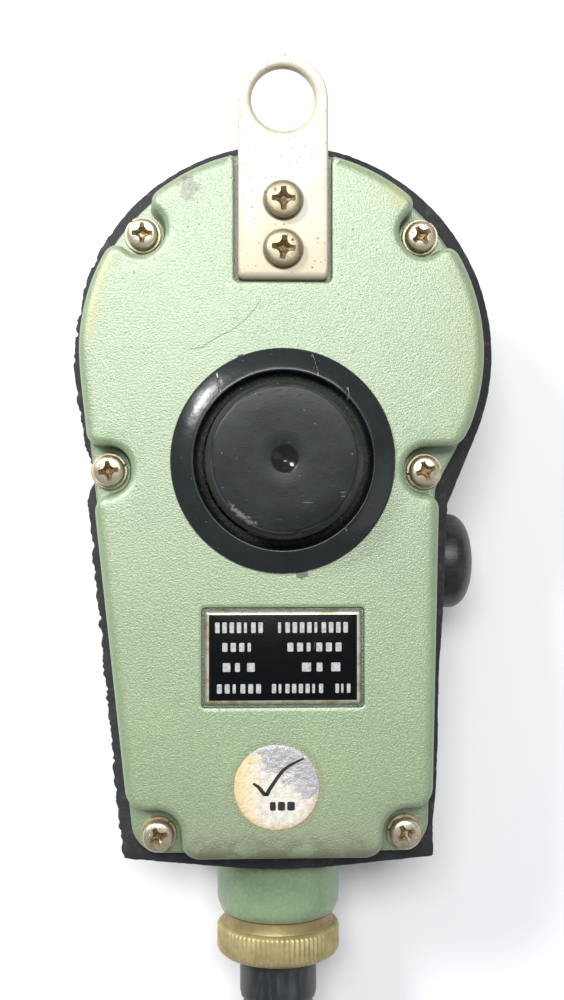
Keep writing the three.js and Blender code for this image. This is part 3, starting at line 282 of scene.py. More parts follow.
def enamel_finish():
    """Sage green hammer enamel on a casting: pebbled, pitted, stained, rubbed yellow, with painted
    shade.
    """
    f = Finish("green_enamel")
    pebble = f.grain(2.6, 3, 0.6)
    wrinkle = f.grain(5.0, 2, 0.5, along=(0.8, 1.15, 1), move=(7, 3, 1))
    pits = f.rise(f.cells(0.75, move=(3, 1, 2)), 0.17, 0.05) * f.rise(f.grain(0.35, 2), 0.42, 0.6)
    cloud = f.grain(0.045, 3, 0.6)
    base = f.mixed(f.rise(cloud, 0.3, 0.7), colour(121, 145, 102), colour(131, 151, 107))
    base = f.mixed(f.rise(pebble, 0.45, 0.68) * 0.45, base, colour(163, 177, 144))
    base = f.mixed(f.rise(wrinkle, 0.47, 0.33) * 0.7, base, colour(98, 122, 88))
    base = f.mixed(pits * 0.5, base, colour(92, 112, 84))
    # Greyer olive towards the foot, on the top face.
    olive_towards_foot = f.rise(f.y + (f.grain(0.2, 3) - 0.5) * 10, -68, -88) * f.rise(f.z, 34.0, 35.5)
    base = f.mixed(olive_towards_foot * 0.42, base, colour(104, 108, 74))
    # Painted shade: the rolled edges and pocket walls below the top are painted a darker green.
    rolled = f.rise(f.z, 36.42, 35.6) * f.rise(f.z, 28.0, 29.0)
    base = f.mixed(rolled * 0.5, base, colour(98, 124, 90))
    stain = f.rise(f.near(-16.1, 28.0) + (f.grain(1.1, 4, 0.65) - 0.5) * 5.5, 2.4, 1.4)
    base = f.mixed(stain * 0.8, base, colour(76, 80, 44))
    left_rub = f.rise(f.size(f.near(0, 0) - 33.4) + (f.grain(0.5, 4, 0.65) - 0.5) * 5, 1.2, 0.4)
    left_rub = left_rub * f.rise(f.near(-32.0, 9.0) + (f.grain(0.4, 3) - 0.5) * 6, 8.5, 6.5)
    right_rub = f.rise(f.near(19.5, 27.6) + (f.grain(0.6, 4, 0.6) - 0.5) * 9, 2.8, 1.4)
    waist = f.rise(f.x * 0.6 + f.grain(0.4, 3) * 9, 19.0, 24.0) * f.rise(f.z, 33.5, 36.3)
    rub = f.larger(f.larger(left_rub, right_rub), waist * 0.3) * f.rise(f.z, 33.0, 35.0)
    base = f.mixed(rub * 0.45, base, colour(168, 164, 98))
    foot = f.rise(f.y + (f.grain(0.5, 4, 0.65) - 0.5) * 7, -82.6, -86.2) * f.rise(f.z, 33.4, 34.6)
    foot = foot * f.rise(f.grain(0.28, 3, move=(5, 0, 0)), 0.28, 0.5) * f.rise(f.size(f.x), 19, 14)
    base = f.mixed(foot * 0.7, base, colour(90, 88, 60))
    label_edge = f.size(f.near(*LABEL) - LABEL_RADIUS - 0.55) + (f.grain(0.9, 3) - 0.5) * 1.6
    label_soil = f.rise(label_edge, 0.7, 0.1) * 0.35 * f.rise(f.z, 36, 36.4)
    base = f.mixed(label_soil, base, colour(112, 110, 74))
    curve = f.size(f.near(-20.5, 19.0) - 19.4 + (f.grain(0.25, 2) - 0.5) * 1.2)
    arc = f.rise(curve, 0.17, 0.06) * f.rise(f.y, 9.5, 8.2)
    arc = arc * f.rise(f.x, -17, -14) * f.rise(f.x, -1, -3)
    chip = f.rise(f.near(28.2, -34.2), 0.55, 0.3)
    nicks = f.line((24.0, -8.5), (27.5, -6.0), 0.12, 0.5)
    base = f.mixed(f.larger(arc * 0.9, chip), base, colour(58, 62, 50))
    base = f.mixed(nicks * 0.6, base, colour(235, 240, 228))
    # Painted shade: the walls of the hanger's slot are painted dark green.
    slot = f.rise(f.z, 36.3, 35.4) * f.rise(f.size(f.x), 9.4, 8.5) * f.rise(f.y, 10.6, 11.6)
    base = f.mixed(slot * 0.75, base, colour(52, 68, 46))
    # Painted shade: the nameplate recess below the plate's face is painted dark green.
    plate_recess_shade = f.rise(f.z, 36.42, 36.2) * f.rise(f.size(f.x), 14.3, 14.2)
    plate_recess_shade = plate_recess_shade * f.rise(f.size(f.y - PLATE_Y), 8.9, 8.8)
    base = f.mixed(plate_recess_shade * 0.85, base, colour(40, 54, 34))
    relief = f.relief(pebble, 0.085)
    relief = f.relief(wrinkle, 0.045, relief)
    relief = f.relief(1 - pits, 0.04, relief)
    return f.set(
        Base_Color=base,
        Metallic=0.05 + pebble * 0.06,
        Roughness=0.34 + wrinkle * 0.08 + rub * 0.1 + olive_towards_foot * 0.1,
        Normal=relief,
        IOR=1.74,
        Specular_IOR_Level=1.0,
    )


def smooth_enamel_finish():
    """The same enamel where it lies smoother, on the front half and the neck."""
    f = Finish("shell_enamel")
    pebble = f.grain(1.3, 3, 0.55)
    cloud = f.grain(0.06, 3, 0.6)
    base = f.mixed(f.rise(cloud, 0.3, 0.7), colour(118, 142, 108), colour(130, 152, 116))
    base = f.mixed(f.rise(pebble, 0.45, 0.65) * 0.3, base, colour(148, 170, 134))
    # Darker olive band at the neck's end next to the nut, with scattered dirt blotches.
    neck_end_tone_and_dirt = f.rise(f.y + (f.grain(0.7, 3) - 0.5) * 2.5, -101.6, -103.0) * f.rise(f.z, 2, 4)
    neck_end_tone_and_dirt = f.larger(neck_end_tone_and_dirt * 0.6, f.rise(f.grain(0.5, 4, 0.7, move=(2, 9, 4)), 0.66, 0.74) * 0.3)
    base = f.mixed(neck_end_tone_and_dirt, base, colour(112, 110, 72))
    front_rub = f.rise(f.z, 0.5, 0.05) * f.rise(f.grain(0.7, 4, 0.7, along=(1, 0.35, 1)), 0.56, 0.7)
    base = f.mixed(front_rub * 0.3, base, colour(168, 174, 136))
    return f.set(
        Base_Color=base,
        Metallic=0.08,
        Roughness=0.34 + pebble * 0.12 + neck_end_tone_and_dirt * 0.2,
        Normal=f.relief(pebble, 0.06),
        Coat_Weight=0.2,
        Coat_Roughness=0.2,
    )


def gasket_finish():
    """Old black sheet rubber with dust and a torn brownish edge."""
    f = Finish("gasket_rubber")
    fibre = f.grain(1.6, 4, 0.65, along=(1, 1, 0.4))
    dust = f.rise(f.grain(0.5, 4, 0.7), 0.52, 0.72)
    base = f.mixed(dust, colour(36, 37, 39), colour(66, 63, 60))
    base = f.mixed(f.rise(fibre, 0.6, 0.75) * 0.4, base, colour(88, 84, 80))
    return f.set(Base_Color=base, Roughness=0.62 + fibre * 0.2, Normal=f.relief(fibre, 0.12))


def boot_finish():
    """Glossy black rubber with short radial cracks, scuffs and dust in its groove."""
    f = Finish("boot_rubber")
    cracks = f.line((-11.45, -3.8), (-10.8, -7.6), 0.24, 0.2)
    for start, end in (
        ((4.9, -0.4), (5.9, -4.8)), ((10.9, -6.2), (11.1, -8.8)),
        ((10.0, -28.4), (10.9, -31.4)), ((-7.6, -5.1), (-7.2, -6.8)),
    ):
        cracks = f.larger(cracks, f.line(start, end, 0.22, 0.2))
    scuffs = f.rise(f.grain(2.2, 3, 0.6, along=(1, 0.25, 1), move=(4, 2, 0)), 0.66, 0.74)
    from_middle = f.near(*TALK)
    groove = f.rise(from_middle, 15.5, 14.9)
    dust = f.rise(f.grain(2.4, 4, 0.7), 0.55, 0.68) * groove
    specks = f.rise(f.cells(0.5, move=(2, 5, 0)), 0.07, 0.04)
    haze = f.grain(0.12, 3, 0.6)
    base = f.mixed(haze, colour(18, 22, 23), colour(34, 40, 41))
    base = f.mixed(dust * 0.8, base, colour(96, 92, 86))
    base = f.mixed(f.smaller(specks * 0.4 + scuffs * 0.12, 0.5), base, colour(120, 124, 128))
    base = f.mixed(f.rise(cracks, 0.02, 0.3) * 0.7, base, colour(118, 122, 126))
    base = f.mixed(f.rise(cracks, 0.45, 0.75), base, colour(4, 4, 5))
    tag = f.rise(from_middle, 19.5, 19.62) * f.rise(f.y, -37, -38)
    base = f.mixed(tag * 0.6, base, colour(140, 139, 132))
    edge = f.rise(f.size(from_middle - 15.55), 0.16, 0.04)
    base = f.mixed(edge * 0.12, base, colour(120, 122, 126))
    return f.set(
        Base_Color=base,
        Roughness=0.16 + haze * 0.2 + scuffs * 0.2 + groove * 0.3,
        Normal=f.relief(1 - cracks, 0.12, f.relief(f.grain(0.5, 2), 0.05)),
    )


def button_finish():
    """Dark rubber cap, duller than its boot, with faint turning rings and scratches."""
    f = Finish("button_rubber")
    from_middle = f.near(*TALK)
    haze = f.grain(0.16, 4, 0.6)
    turned = f.math("SINE", from_middle * 9.5) * 0.5 + 0.5
    scratch = f.rise(f.grain(1.6, 4, 0.6, along=(0.35, 1.6, 1)), 0.63, 0.72)
    specks = f.rise(f.cells(0.42, move=(1, 8, 0)), 0.06, 0.03)
    base = f.mixed(f.rise(haze, 0.35, 0.7), colour(13, 18, 19), colour(24, 30, 31))
    rim = f.rise(f.size(from_middle - 12.3), 0.2, 0.05) * f.rise(f.grain(0.3, 3), 0.35, 0.6)
    base = f.mixed(rim * 0.25, base, colour(112, 108, 102))
    dust = f.rise(f.size(from_middle - 11.9) + (f.grain(1.8, 4, 0.7) - 0.5) * 2.4, 0.5, 0.1)
    dust = dust * f.rise(f.near(-7.4, -28.2) + (f.grain(0.8, 3) - 0.5) * 3, 3.6, 1.6)
    nicks = f.line((9.0, -24.6), (10.3, -24.5), 0.14, 0.2)
    nicks = f.larger(nicks, f.line((9.2, -25.3), (10.2, -25.2), 0.12, 0.2))
    nicks = f.larger(nicks, f.line((2.5, -26.2), (5.0, -26.3), 0.1, 0.3))
    pale = f.smaller(dust * 0.4 + specks * 0.5 + scratch * 0.06 + nicks * 0.35, 0.8)
    base = f.mixed(pale, base, colour(150, 148, 142))
    pit = f.rise(from_middle, 2.25, 1.9)
    base = f.mixed(pit, base, colour(24, 26, 28))
    return f.set(
        Base_Color=base,
        Roughness=0.32 + haze * 0.12 - pit * 0.22 + scratch * 0.1,
        Normal=f.relief(turned, 0.0012, f.relief(scratch, 0.02, f.relief(f.grain(0.4, 3), 0.03))),
        Specular_IOR_Level=0.3,
    )


def rubber_finish(name, dark, pale, gloss, length_axis=1):
    """Black moulded rubber or plastic with haze along its length."""
    f = Finish(name)
    along = [1.0, 1.0, 1.0]
    along[length_axis] = 0.2
    streak = f.grain(0.8, 3, 0.55, along=tuple(along))
    fine = f.grain(4.0, 2)
    base = f.mixed(f.rise(streak, 0.35, 0.75), dark, pale)
    return f.set(Base_Color=base, Roughness=gloss + streak * 0.15, Normal=f.relief(fine, 0.03))


def plated_finish(name, bright, dull, deep, deep_below, gloss):
    """Nickel plate gone cream, pitted, and brown in its recesses."""
    f = Finish(name)
    cloud = f.grain(0.5, 4, 0.6)
    fine = f.grain(5.0, 3)
    pits = f.rise(f.cells(1.1, move=(6, 2, 0)), 0.16, 0.06) * f.rise(f.grain(0.7, 2), 0.5, 0.62)
    base = f.mixed(f.rise(cloud, 0.4, 0.75), bright, dull)
    base = f.mixed(pits * 0.7, base, colour(150, 128, 72))
    hollow = f.rise(f.z, deep_below, deep_below - 0.5)
    base = f.mixed(hollow * f.rise(f.grain(1.4, 3), 0.25, 0.55), base, deep)
    return f.set(
        Base_Color=base,
        Metallic=0.8 - pits * 0.5,
        Roughness=gloss + cloud * 0.14 + pits * 0.3 + hollow * 0.15,
        Normal=f.relief(fine, 0.03, f.relief(1 - pits, 0.05)),
    )


def bracket_finish():
    """Bright hanger plate with rust-brown pits; painted shade makes its lower end cream, its eye
    tan, its screw seats dark.
    """
    f = Finish("bracket_nickel")
    cloud = f.grain(0.16, 4, 0.6)
    fine = f.grain(4.0, 3)
    many = f.rise(f.grain(0.2, 3, move=(3, 7, 0)), 0.38, 0.62)
    pits = f.rise(f.cells(1.1, move=(6, 2, 0)), 0.17, 0.07) * many
    dots = f.rise(f.cells(0.5, move=(1, 9, 0)), 0.1, 0.045)
    # Painted shade: the lower end is painted a darker cream, where the plate gives back less light.
    lower = f.rise(f.y + (f.grain(0.3, 3) - 0.5) * 8, 30, 13)
    eye = f.rise(f.near(0, EYE_Y) + (f.grain(1.2, 4, 0.65) - 0.5) * 1.8, 6.5, 6.1)
    screw_seat_shade = f.rise(f.smaller(*(f.near(0, y) for y in HANGER_SCREW_YS)), 3.65, 3.45)
    base = f.mixed(lower * 0.6, colour(203, 200, 190), colour(190, 176, 138))
    base = f.mixed(f.rise(cloud, 0.5, 0.75) * 0.45, base, colour(192, 180, 146))
    # Painted shade: the tan ring round the eye, on its rounded edge. A tan band also runs along the
    # long sides.
    side = f.rise(f.size(f.x) + (f.grain(0.8, 3) - 0.5) * 2.4, 6.6, 7.4)
    base = f.mixed(f.larger(eye * 0.5, side * 0.3), base, colour(172, 158, 116))
    base = f.mixed(f.larger(pits * 0.6, dots * 0.9), base, colour(122, 104, 58))
    # Painted shade: a dark ring round each hanger screw's head, where it meets the plate.
    base = f.mixed(screw_seat_shade * 0.75, base, colour(74, 60, 40))
    return f.set(
        Base_Color=base,
        Metallic=0.25 - pits * 0.1,
        Roughness=0.5 + cloud * 0.12 + pits * 0.2,
        Normal=f.relief(fine, 0.02, f.relief(1 - f.larger(pits, dots), 0.05)),
    )


def brass_finish():
    """Dull yellow brass with darkened hollows."""
    f = Finish("nut_brass")
    cloud = f.grain(0.5, 4, 0.6)
    fine = f.grain(4.5, 3, along=(1, 0.3, 1))
    base = f.mixed(f.rise(cloud, 0.35, 0.7), colour(188, 174, 128), colour(168, 154, 108))
    spots = f.rise(f.grain(0.9, 4, 0.7, move=(4, 4, 4)), 0.66, 0.74)
    base = f.mixed(spots * 0.6, base, colour(108, 84, 44))
    collar = f.rise(f.y, -105.6, -104.9)
    base = f.mixed(collar * 0.55, base, colour(112, 96, 58))
    return f.set(
        Base_Color=base,
        Metallic=0.7,
        Roughness=0.42 + cloud * 0.16,
        Normal=f.relief(fine, 0.03),
    )


def plate_finish():
    """Nameplate: black etched field inside a bare metal border."""
    f = Finish("nameplate_metal")
    across = f.rise(f.size(f.x), 12.83, 12.77)
    up = f.rise(f.size(f.y - PLATE_Y), 7.43, 7.37)
    field = across * up * f.rise(f.z, 36.3, 36.36)
    cloud = f.grain(0.5, 4, 0.6)
    worn = f.rise(f.grain(2.2, 4, 0.7), 0.72, 0.8)
    scratch = f.line((5.2, -52.0), (5.6, -49.8), 0.06, 0.3)
    metal = f.mixed(f.rise(cloud, 0.4, 0.7), colour(218, 214, 198), colour(176, 168, 128))
    black = f.mixed(worn * 0.1 + scratch * 0.4, colour(5, 8, 10), colour(120, 126, 130))
    return f.set(
        Base_Color=f.mixed(field, metal, black),
        Metallic=0.85 - field * 0.85,
        Roughness=0.3 + cloud * 0.1 - field * 0.08,
        Specular_IOR_Level=0.15,
        Normal=f.relief(f.grain(3.0, 3), 0.015),
    )


def plate_mark_finish():
    """Bare metal of the plain blocks that stand in for the nameplate's print."""
    f = Finish("plate_marks")
    cloud = f.grain(1.4, 3, 0.6)
    base = f.mixed(f.rise(cloud, 0.35, 0.7), colour(186, 188, 184), colour(150, 152, 148))
    return f.set(Base_Color=base, Metallic=0.3, Roughness=0.4 + cloud * 0.15)


def label_finish():
    """Silvered paper label, rubbed cream at its left and foot."""
    f = Finish("label_paper")
    cloud = f.grain(0.35, 4, 0.6, move=(2, 2, 0))
    crease = f.grain(0.9, 4, 0.65)
    slope = (f.x - LABEL[0]) * 0.55 + (f.y - LABEL[1]) * 0.8
    silver = f.rise(slope + (cloud - 0.5) * 9, 1.6, 2.4)
    patch = f.rise(f.near(3.9, -75.6) + (f.grain(0.7, 3) - 0.5) * 2.6, 1.7, 1.3)
    ragged = (f.grain(0.8, 4, 0.65, move=(0, 6, 0)) - 0.5) * 5
    stain = f.rise(f.near(*LABEL) + ragged, 5.8, 7.6)
    left = f.rise(f.x + (cloud - 0.5) * 7, -3.6, -6.0)
    base = f.mixed(f.rise(crease, 0.4, 0.65), colour(214, 209, 197), colour(194, 189, 177))
    base = f.mixed(left * 0.8, base, colour(216, 198, 152))
    base = f.mixed(stain * 0.55, base, colour(196, 166, 104))
    base = f.mixed(f.larger(silver, patch), base, colour(174, 171, 172))
    rust = f.rise(f.grain(1.1, 4, 0.7, along=(1.6, 0.5, 1)), 0.64, 0.72) * f.rise(f.y, -76, -79)
    base = f.mixed(rust * 0.6, base, colour(186, 142, 72))
    return f.set(
        Base_Color=base,
        Metallic=silver * 0.35,
        Roughness=0.5 - silver * 0.12,
        Normal=f.relief(crease, 0.3),
    )


def ink_finish():
    """Black pen ink on the label, a little broken."""
    f = Finish("label_ink")
    dry = f.rise(f.grain(2.6, 3, 0.6), 0.6, 0.75)
    base = f.mixed(dry * 0.5, colour(30, 31, 31), colour(110, 108, 102))
    return f.set(Base_Color=base, Roughness=0.4 + dry * 0.2)


def metal_finish(name, bright, dull, gloss, along=(1, 1, 1), per_mm=1.6):
    """Plain worked metal with a faint grain."""
    f = Finish(name)
    cloud = f.grain(0.4, 3, 0.6)
    lines = f.grain(per_mm, 3, 0.55, along=along)
    base = f.mixed(f.rise(cloud, 0.35, 0.7), bright, dull)
    return f.set(
        Base_Color=base,
        Metallic=0.9,
        Roughness=gloss + lines * 0.16,
        Normal=f.relief(lines, 0.02),
    )


def moulding_finish(name, dark, pale, gloss, per_mm=1.8):
    """Plain moulding, board, cloth or film with a fine grain."""
    f = Finish(name)
    cloud = f.grain(0.3, 3, 0.6)
    fine = f.grain(per_mm, 3, 0.6)
    base = f.mixed(f.rise(cloud, 0.3, 0.7), dark, pale)
    return f.set(Base_Color=base, Roughness=gloss + fine * 0.12, Normal=f.relief(fine, 0.04))


def cloth_finish():
    """Open woven cloth behind the mouthpiece."""
    f = Finish("wind_cloth")
    warp = f.math("SINE", f.x * 14.0)
    weft = f.math("SINE", f.y * 14.0)
    weave = warp * weft * 0.5 + 0.5
    base = f.mixed(weave, colour(20, 20, 21), colour(60, 60, 60))
    return f.set(Base_Color=base, Roughness=0.8 + weave * 0.1, Normal=f.relief(weave, 0.08))


enamel = enamel_finish()
shell_enamel = smooth_enamel_finish()
gasket_rubber = gasket_finish()
boot_rubber = boot_finish()
button_rubber = button_finish()
screw_plate = plated_finish(
    "screw_nickel", colour(196, 188, 168), colour(160, 146, 112), colour(118, 94, 56), 33.35, 0.24
)
hanger_screw_plate = plated_finish(
    "hanger_screw_nickel", colour(164, 154, 128), colour(140, 128, 98), colour(100, 80, 46),
    38.1, 0.36,
)
washer_plate = plated_finish(
    "washer_nickel", colour(196, 184, 148), colour(150, 132, 88), colour(96, 74, 40), 31.2, 0.32
)
bracket_plate = bracket_finish()
brass = brass_finish()
plate_metal = plate_finish()
plate_marks_paint = plate_mark_finish()
label_paper = label_finish()
ink = ink_finish()
cord_rubber = rubber_finish("cord_rubber", colour(22, 25, 29), colour(44, 48, 54), 0.4)
relief_rubber = rubber_finish("relief_rubber", colour(30, 34, 35), colour(56, 62, 64), 0.36)
side_rubber = rubber_finish("side_rubber", colour(24, 25, 27), colour(48, 49, 52), 0.32, 0)
sleeve_plastic = rubber_finish("sleeve_plastic", colour(17, 17, 19), colour(36, 36, 39), 0.3)
tie_cloth = moulding_finish("tie_cloth", colour(24, 24, 26), colour(44, 44, 47), 0.75, 3.5)
contact_metal = metal_finish(
    "contact_metal", colour(226, 220, 204), colour(196, 188, 168), 0.16, (1, 6, 1)
)

slot_finishes = {
    "green_enamel": shell_enamel,
    "gasket_rubber": gasket_rubber,
    "black_rubber": side_rubber,
    "soft_rubber": moulding_finish("soft_rubber", colour(30, 30, 32), colour(52, 52, 54), 0.6),
    "button_plastic": button_rubber,
    "ring_plastic": metal_finish("ring_metal", colour(60, 62, 64), colour(40, 42, 44), 0.3),
    "bracket_nickel": bracket_plate,
    "screw_nickel": screw_plate,
    "nut_brass": brass,
    "capsule_metal": metal_finish(
        "capsule_metal", colour(176, 178, 180), colour(140, 142, 146), 0.3
    ),
    "grille_metal": metal_finish(
        "grille_metal", colour(196, 198, 192), colour(150, 154, 150), 0.26, per_mm=2.4
    ),
    "spring_steel": metal_finish(
        "spring_steel", colour(168, 170, 174), colour(120, 122, 126), 0.22, per_mm=3.0
    ),
    "magnet_steel": metal_finish("magnet_steel", colour(120, 122, 126), colour(84, 86, 90), 0.32),
    "coil_copper": metal_finish(
        "coil_copper", colour(196, 120, 72), colour(150, 84, 46), 0.3, (1, 1, 8), 3.0
    ),
    "film": moulding_finish("diaphragm_film", colour(176, 160, 120), colour(206, 192, 152), 0.3),
    "wind_cloth": cloth_finish(),
    "switch_body": moulding_finish("switch_body", colour(34, 34, 36), colour(56, 56, 58), 0.42),
    "board": moulding_finish("board", colour(112, 74, 38), colour(142, 100, 56), 0.5),
    "plunger_metal": metal_finish(
        "plunger_metal", colour(188, 176, 130), colour(150, 138, 96), 0.3
    ),
    "plate": plate_metal,
    "label_paper": label_paper,
    "cord_rubber": cord_rubber,
    "plug_plastic": sleeve_plastic,
    "plug_metal": contact_metal,
}


# ---------------------------------------------------------------------------------------------
# Mesh work, all in millimetres until a piece is made
# ---------------------------------------------------------------------------------------------

def rounded(corners, step=0.4):
    """Evenly spaced points along a closed outline of (x, y, corner radius)."""
    path = []
    count = len(corners)
    for i in range(count):
        x, y, radius = corners[i]
        here = Vector((x, y))
        back = (Vector(corners[i - 1][:2]) - here).normalized()
        ahead = (Vector(corners[(i + 1) % count][:2]) - here).normalized()
        angle = back.angle(ahead)
        if radius == 0 or angle > math.pi - 0.001:
            path.append(here)
            continue
        reach = radius / math.tan(angle / 2)
        centre = here + (back + ahead).normalized() * radius / math.sin(angle / 2)
        start = here + back * reach - centre
        end = here + ahead * reach - centre
        sweep = math.atan2(start.x * end.y - start.y * end.x, start.dot(end))
        parts = max(2, math.ceil(abs(sweep) * radius / step))
        for k in range(parts + 1):
            path.append(centre + Matrix.Rotation(sweep * k / parts, 2) @ start)
    return evenly(path, step)


def evenly(path, step):
    """The same closed path with its points an even step apart."""
    reached = [0.0]
    for i in range(len(path)):
        reached.append(reached[-1] + (path[(i + 1) % len(path)] - path[i]).length)
    count = round(reached[-1] / step)
    points = []
    i = 0
    for k in range(count):
        at = reached[-1] * k / count
        while reached[i + 1] <= at:
            i += 1
        share = (at - reached[i]) / (reached[i + 1] - reached[i])
        points.append(path[i].lerp(path[(i + 1) % len(path)], share))
    return points


def inwards(points):
    """The direction to the left at each point of a path: inwards if it runs anticlockwise."""
    found = []
    for i in range(len(points)):
        along = (points[(i + 1) % len(points)] - points[i - 1]).normalized()
        found.append(Vector((-along.y, along.x)))
    return found


def circle(radius, x, y, count=96):
    angles = (2 * math.pi * k / count for k in range(count))
    return [Vector((x + radius * math.cos(a), y + radius * math.sin(a))) for a in angles]


def rounded_box(left, right, low, high, radius, step=0.4):
    """A rectangle with rounded corners, anticlockwise from its lower right."""
    return rounded(
        [(right, low, radius), (right, high, radius), (left, high, radius), (left, low, radius)],
        step,
    )


def inside(point, outline):
    """Is the point inside a closed outline?"""
    odd = False
    for i in range(len(outline)):
        (ax, ay), (bx, by) = outline[i - 1], outline[i]
        if (ay > point[1]) != (by > point[1]):
            if point[0] < ax + (point[1] - ay) * (bx - ax) / (by - ay):
                odd = not odd
    return odd


class Shape:
    """Points and faces of one piece."""

    def __init__(self):
        self.points = []
        self.faces = []

    def ring(self, points):
        first = len(self.points)
        self.points.extend(Vector(p) for p in points)
        return list(range(first, len(self.points)))

    def level(self, outline, z):
        return self.ring([(p[0], p[1], z) for p in outline])

    def bridge(self, lower, upper, closed=True):
        """Quads between two rings; both run anticlockwise seen from the outside's top."""
        count = len(lower)
        for i in range(count if closed else count - 1):
            j = (i + 1) % count
            self.faces.append((lower[i], lower[j], upper[j], upper[i]))

    def cap(self, rim, holes=(), grid=None, up=True, height=None):
        """Triangles between a rim and its holes, with loose points inside if asked."""
        loops = [rim, *holes]
        numbers = [n for loop in loops for n in loop]
        flat = [self.points[n].xy for n in numbers]
        edges = []
        first = 0
        for loop in loops:
            edges += [(first + i, first + (i + 1) % len(loop)) for i in range(len(loop))]
            first += len(loop)
        hole_outlines = [[self.points[n].xy for n in hole] for hole in holes]
        rim_outline = [self.points[n].xy for n in rim]
        z = self.points[rim[0]].z
        for p in grid or ():
            if inside(p, rim_outline) and not any(inside(p, h) for h in hole_outlines):
                flat.append(Vector(p))
                numbers += self.ring([(p[0], p[1], height(*p) if height else z)])
        made, _, triangles, origins, _, _ = delaunay_2d_cdt(flat, edges, [], 1, 1e-7)
        known = [
            numbers[o[0]] if o else self.ring([(v.x, v.y, height(*v) if height else z)])[0]
            for v, o in zip(made, origins)
        ]
        for triangle in triangles:
            middle = sum((made[i] for i in triangle), Vector((0, 0))) / 3
            if not inside(middle, rim_outline) or any(inside(middle, h) for h in hole_outlines):
                continue
            face = [known[i] for i in triangle]
            self.faces.append(tuple(face if up else reversed(face)))

    def join(self, rings):
        """Quads from each ring to the next."""
        for one, other in zip(rings, rings[1:]):
            self.bridge(one, other)

    def lid(self, ring, up=True):
        """One face across a ring."""
        self.faces.append(tuple(ring if up else reversed(ring)))

    def stack(self, outlines_and_heights):
        """Level rings joined by quads; gives the rings back."""
        rings = [self.level(outline, z) for outline, z in outlines_and_heights]
        self.join(rings)
        return rings

    def lathe(self, profile, count):
        """A turned form about Z from (radius, z) points, bottom to top on its outside."""
        rings = []
        for radius, z in profile:
            if radius < 1e-6:
                rings.append(self.ring([(0, 0, z)]))
            else:
                rings.append(self.level(circle(radius, 0, 0, count), z))
        for lower, upper in zip(rings, rings[1:]):
            if len(lower) == 1:
                for i in range(count):
                    self.faces.append((lower[0], upper[(i + 1) % count], upper[i]))
            elif len(upper) == 1:
                for i in range(count):
                    self.faces.append((lower[i], lower[(i + 1) % count], upper[0]))
            else:
                self.bridge(lower, upper)
        return rings

    def moved(self, change):
        """Every point passed through a function of its place."""
        self.points = [Vector(change(p)) for p in self.points]
        return self

    def along_y(self, x, z):
        """Turn the Z axis to face -Y, about a line at (x, z)."""
        return self.moved(lambda p: (x + p.x, -p.z, z + p.y))

    def along_x(self, y, z):
        """Turn the Z axis to face +X, about a line at (y, z)."""
        return self.moved(lambda p: (p.z, y + p.x, z + p.y))

    def add(self, other):
        first = len(self.points)
        self.points += other.points
        self.faces += [tuple(first + n for n in face) for face in other.faces]
        return self


def lathed(profile, count):
    """A turned form about Z as a shape of its own."""
    shape = Shape()
    shape.lathe(profile, count)
    return shape


def make(name, shape, material, body="root", replaces=(), sharp=35):
    """Turn a shape into a piece that rides on a body."""
    mesh = bpy.data.meshes.new(name)
    mesh.from_pydata([p * MM for p in shape.points], [], shape.faces)
    mesh.validate()
    mesh.shade_smooth()
    mesh.set_sharp_from_angle(angle=math.radians(sharp))
    mesh.materials.append(material)
    piece = bpy.data.objects.new(name, mesh)
    bpy.context.collection.objects.link(piece)
    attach(piece, body)
    if replaces:
        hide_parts(*replaces)
    return piece


def quarter(radius, steps=6):
    """(inset, drop) pairs up a rolled edge, from its outside to its top."""
    pairs = []
    for k in range(steps + 1):
        angle = math.pi / 2 * k / steps
        pairs.append((radius * (1 - math.cos(angle)), radius * (1 - math.sin(angle))))
    return pairs


def shifted(points, directions, amounts):
    """Points moved along their directions by one amount or one for each."""
    if not hasattr(amounts, "__len__"):
        amounts = [amounts] * len(points)
    return [p + d * a for p, d, a in zip(points, directions, amounts)]


def softened(values, reach, rounds=3):
    """A closed row of values, averaged with so many neighbours on each side."""
    for _ in range(rounds):
        count = len(values)
        total = sum(values[i] for i in range(-reach, reach + 1))
        found = []
        for i in range(count):
            found.append(total / (2 * reach + 1))
            total += values[(i + reach + 1) % count] - values[i - reach]
        values = found
    return values


# ---------------------------------------------------------------------------------------------
# Free cord: out of the strain relief, down to the floor and into a coil beside the foot
# ---------------------------------------------------------------------------------------------

CORD_EXIT = (0, -140.3, 14)
CORD_RADIUS = 3.5
COIL_MIDDLE_Y = -235
COIL_OUTER = 48
COIL_INNER = 27
COIL_START = 50  # angle at which the cord joins the coil, in degrees
COIL_TURN = 2030  # degrees of turning, inwards over the first half and back out over the rest
CLIMB_START = 910  # where it climbs on top of its first turns
CLIMB_TURN = 210
cord_points = [
    CORD_EXIT, (0, -146, 14), (0, -152, 13.4), (0.6, -160, 11.4), (3, -169, 8.4),
    (8, -178, 5.8), (11.4, -182.3, 4.9), (15.2, -186.6, 4.2), (23, -193, 3.6),
]
turn_steps = 116
for k in range(turn_steps + 1):
    turned = COIL_TURN * k / turn_steps
    inward = 1 - abs(2 * k / turn_steps - 1)
    radius = COIL_OUTER - (COIL_OUTER - COIL_INNER) * inward
    climb = min(1, max(0, (turned - CLIMB_START) / CLIMB_TURN))
    climb = climb * climb * (3 - 2 * climb)
    angle = math.radians(COIL_START - turned)
    cord_points.append((
        radius * math.cos(angle),
        COIL_MIDDLE_Y + radius * math.sin(angle),
        CORD_RADIUS + 2 * CORD_RADIUS * climb,
    ))
cord_points += [
    (-47.5, -222, 10.3), (-43, -207, 9), (-36.2, -200.2, 8.4), (-34.2, -195, 7.9),
    (-33.1, -190.5, 7.6), (-33, -188.4, 7.6),
]
cord_curve = bpy.data.curves.new("cord", "CURVE")
cord_curve.dimensions = "3D"
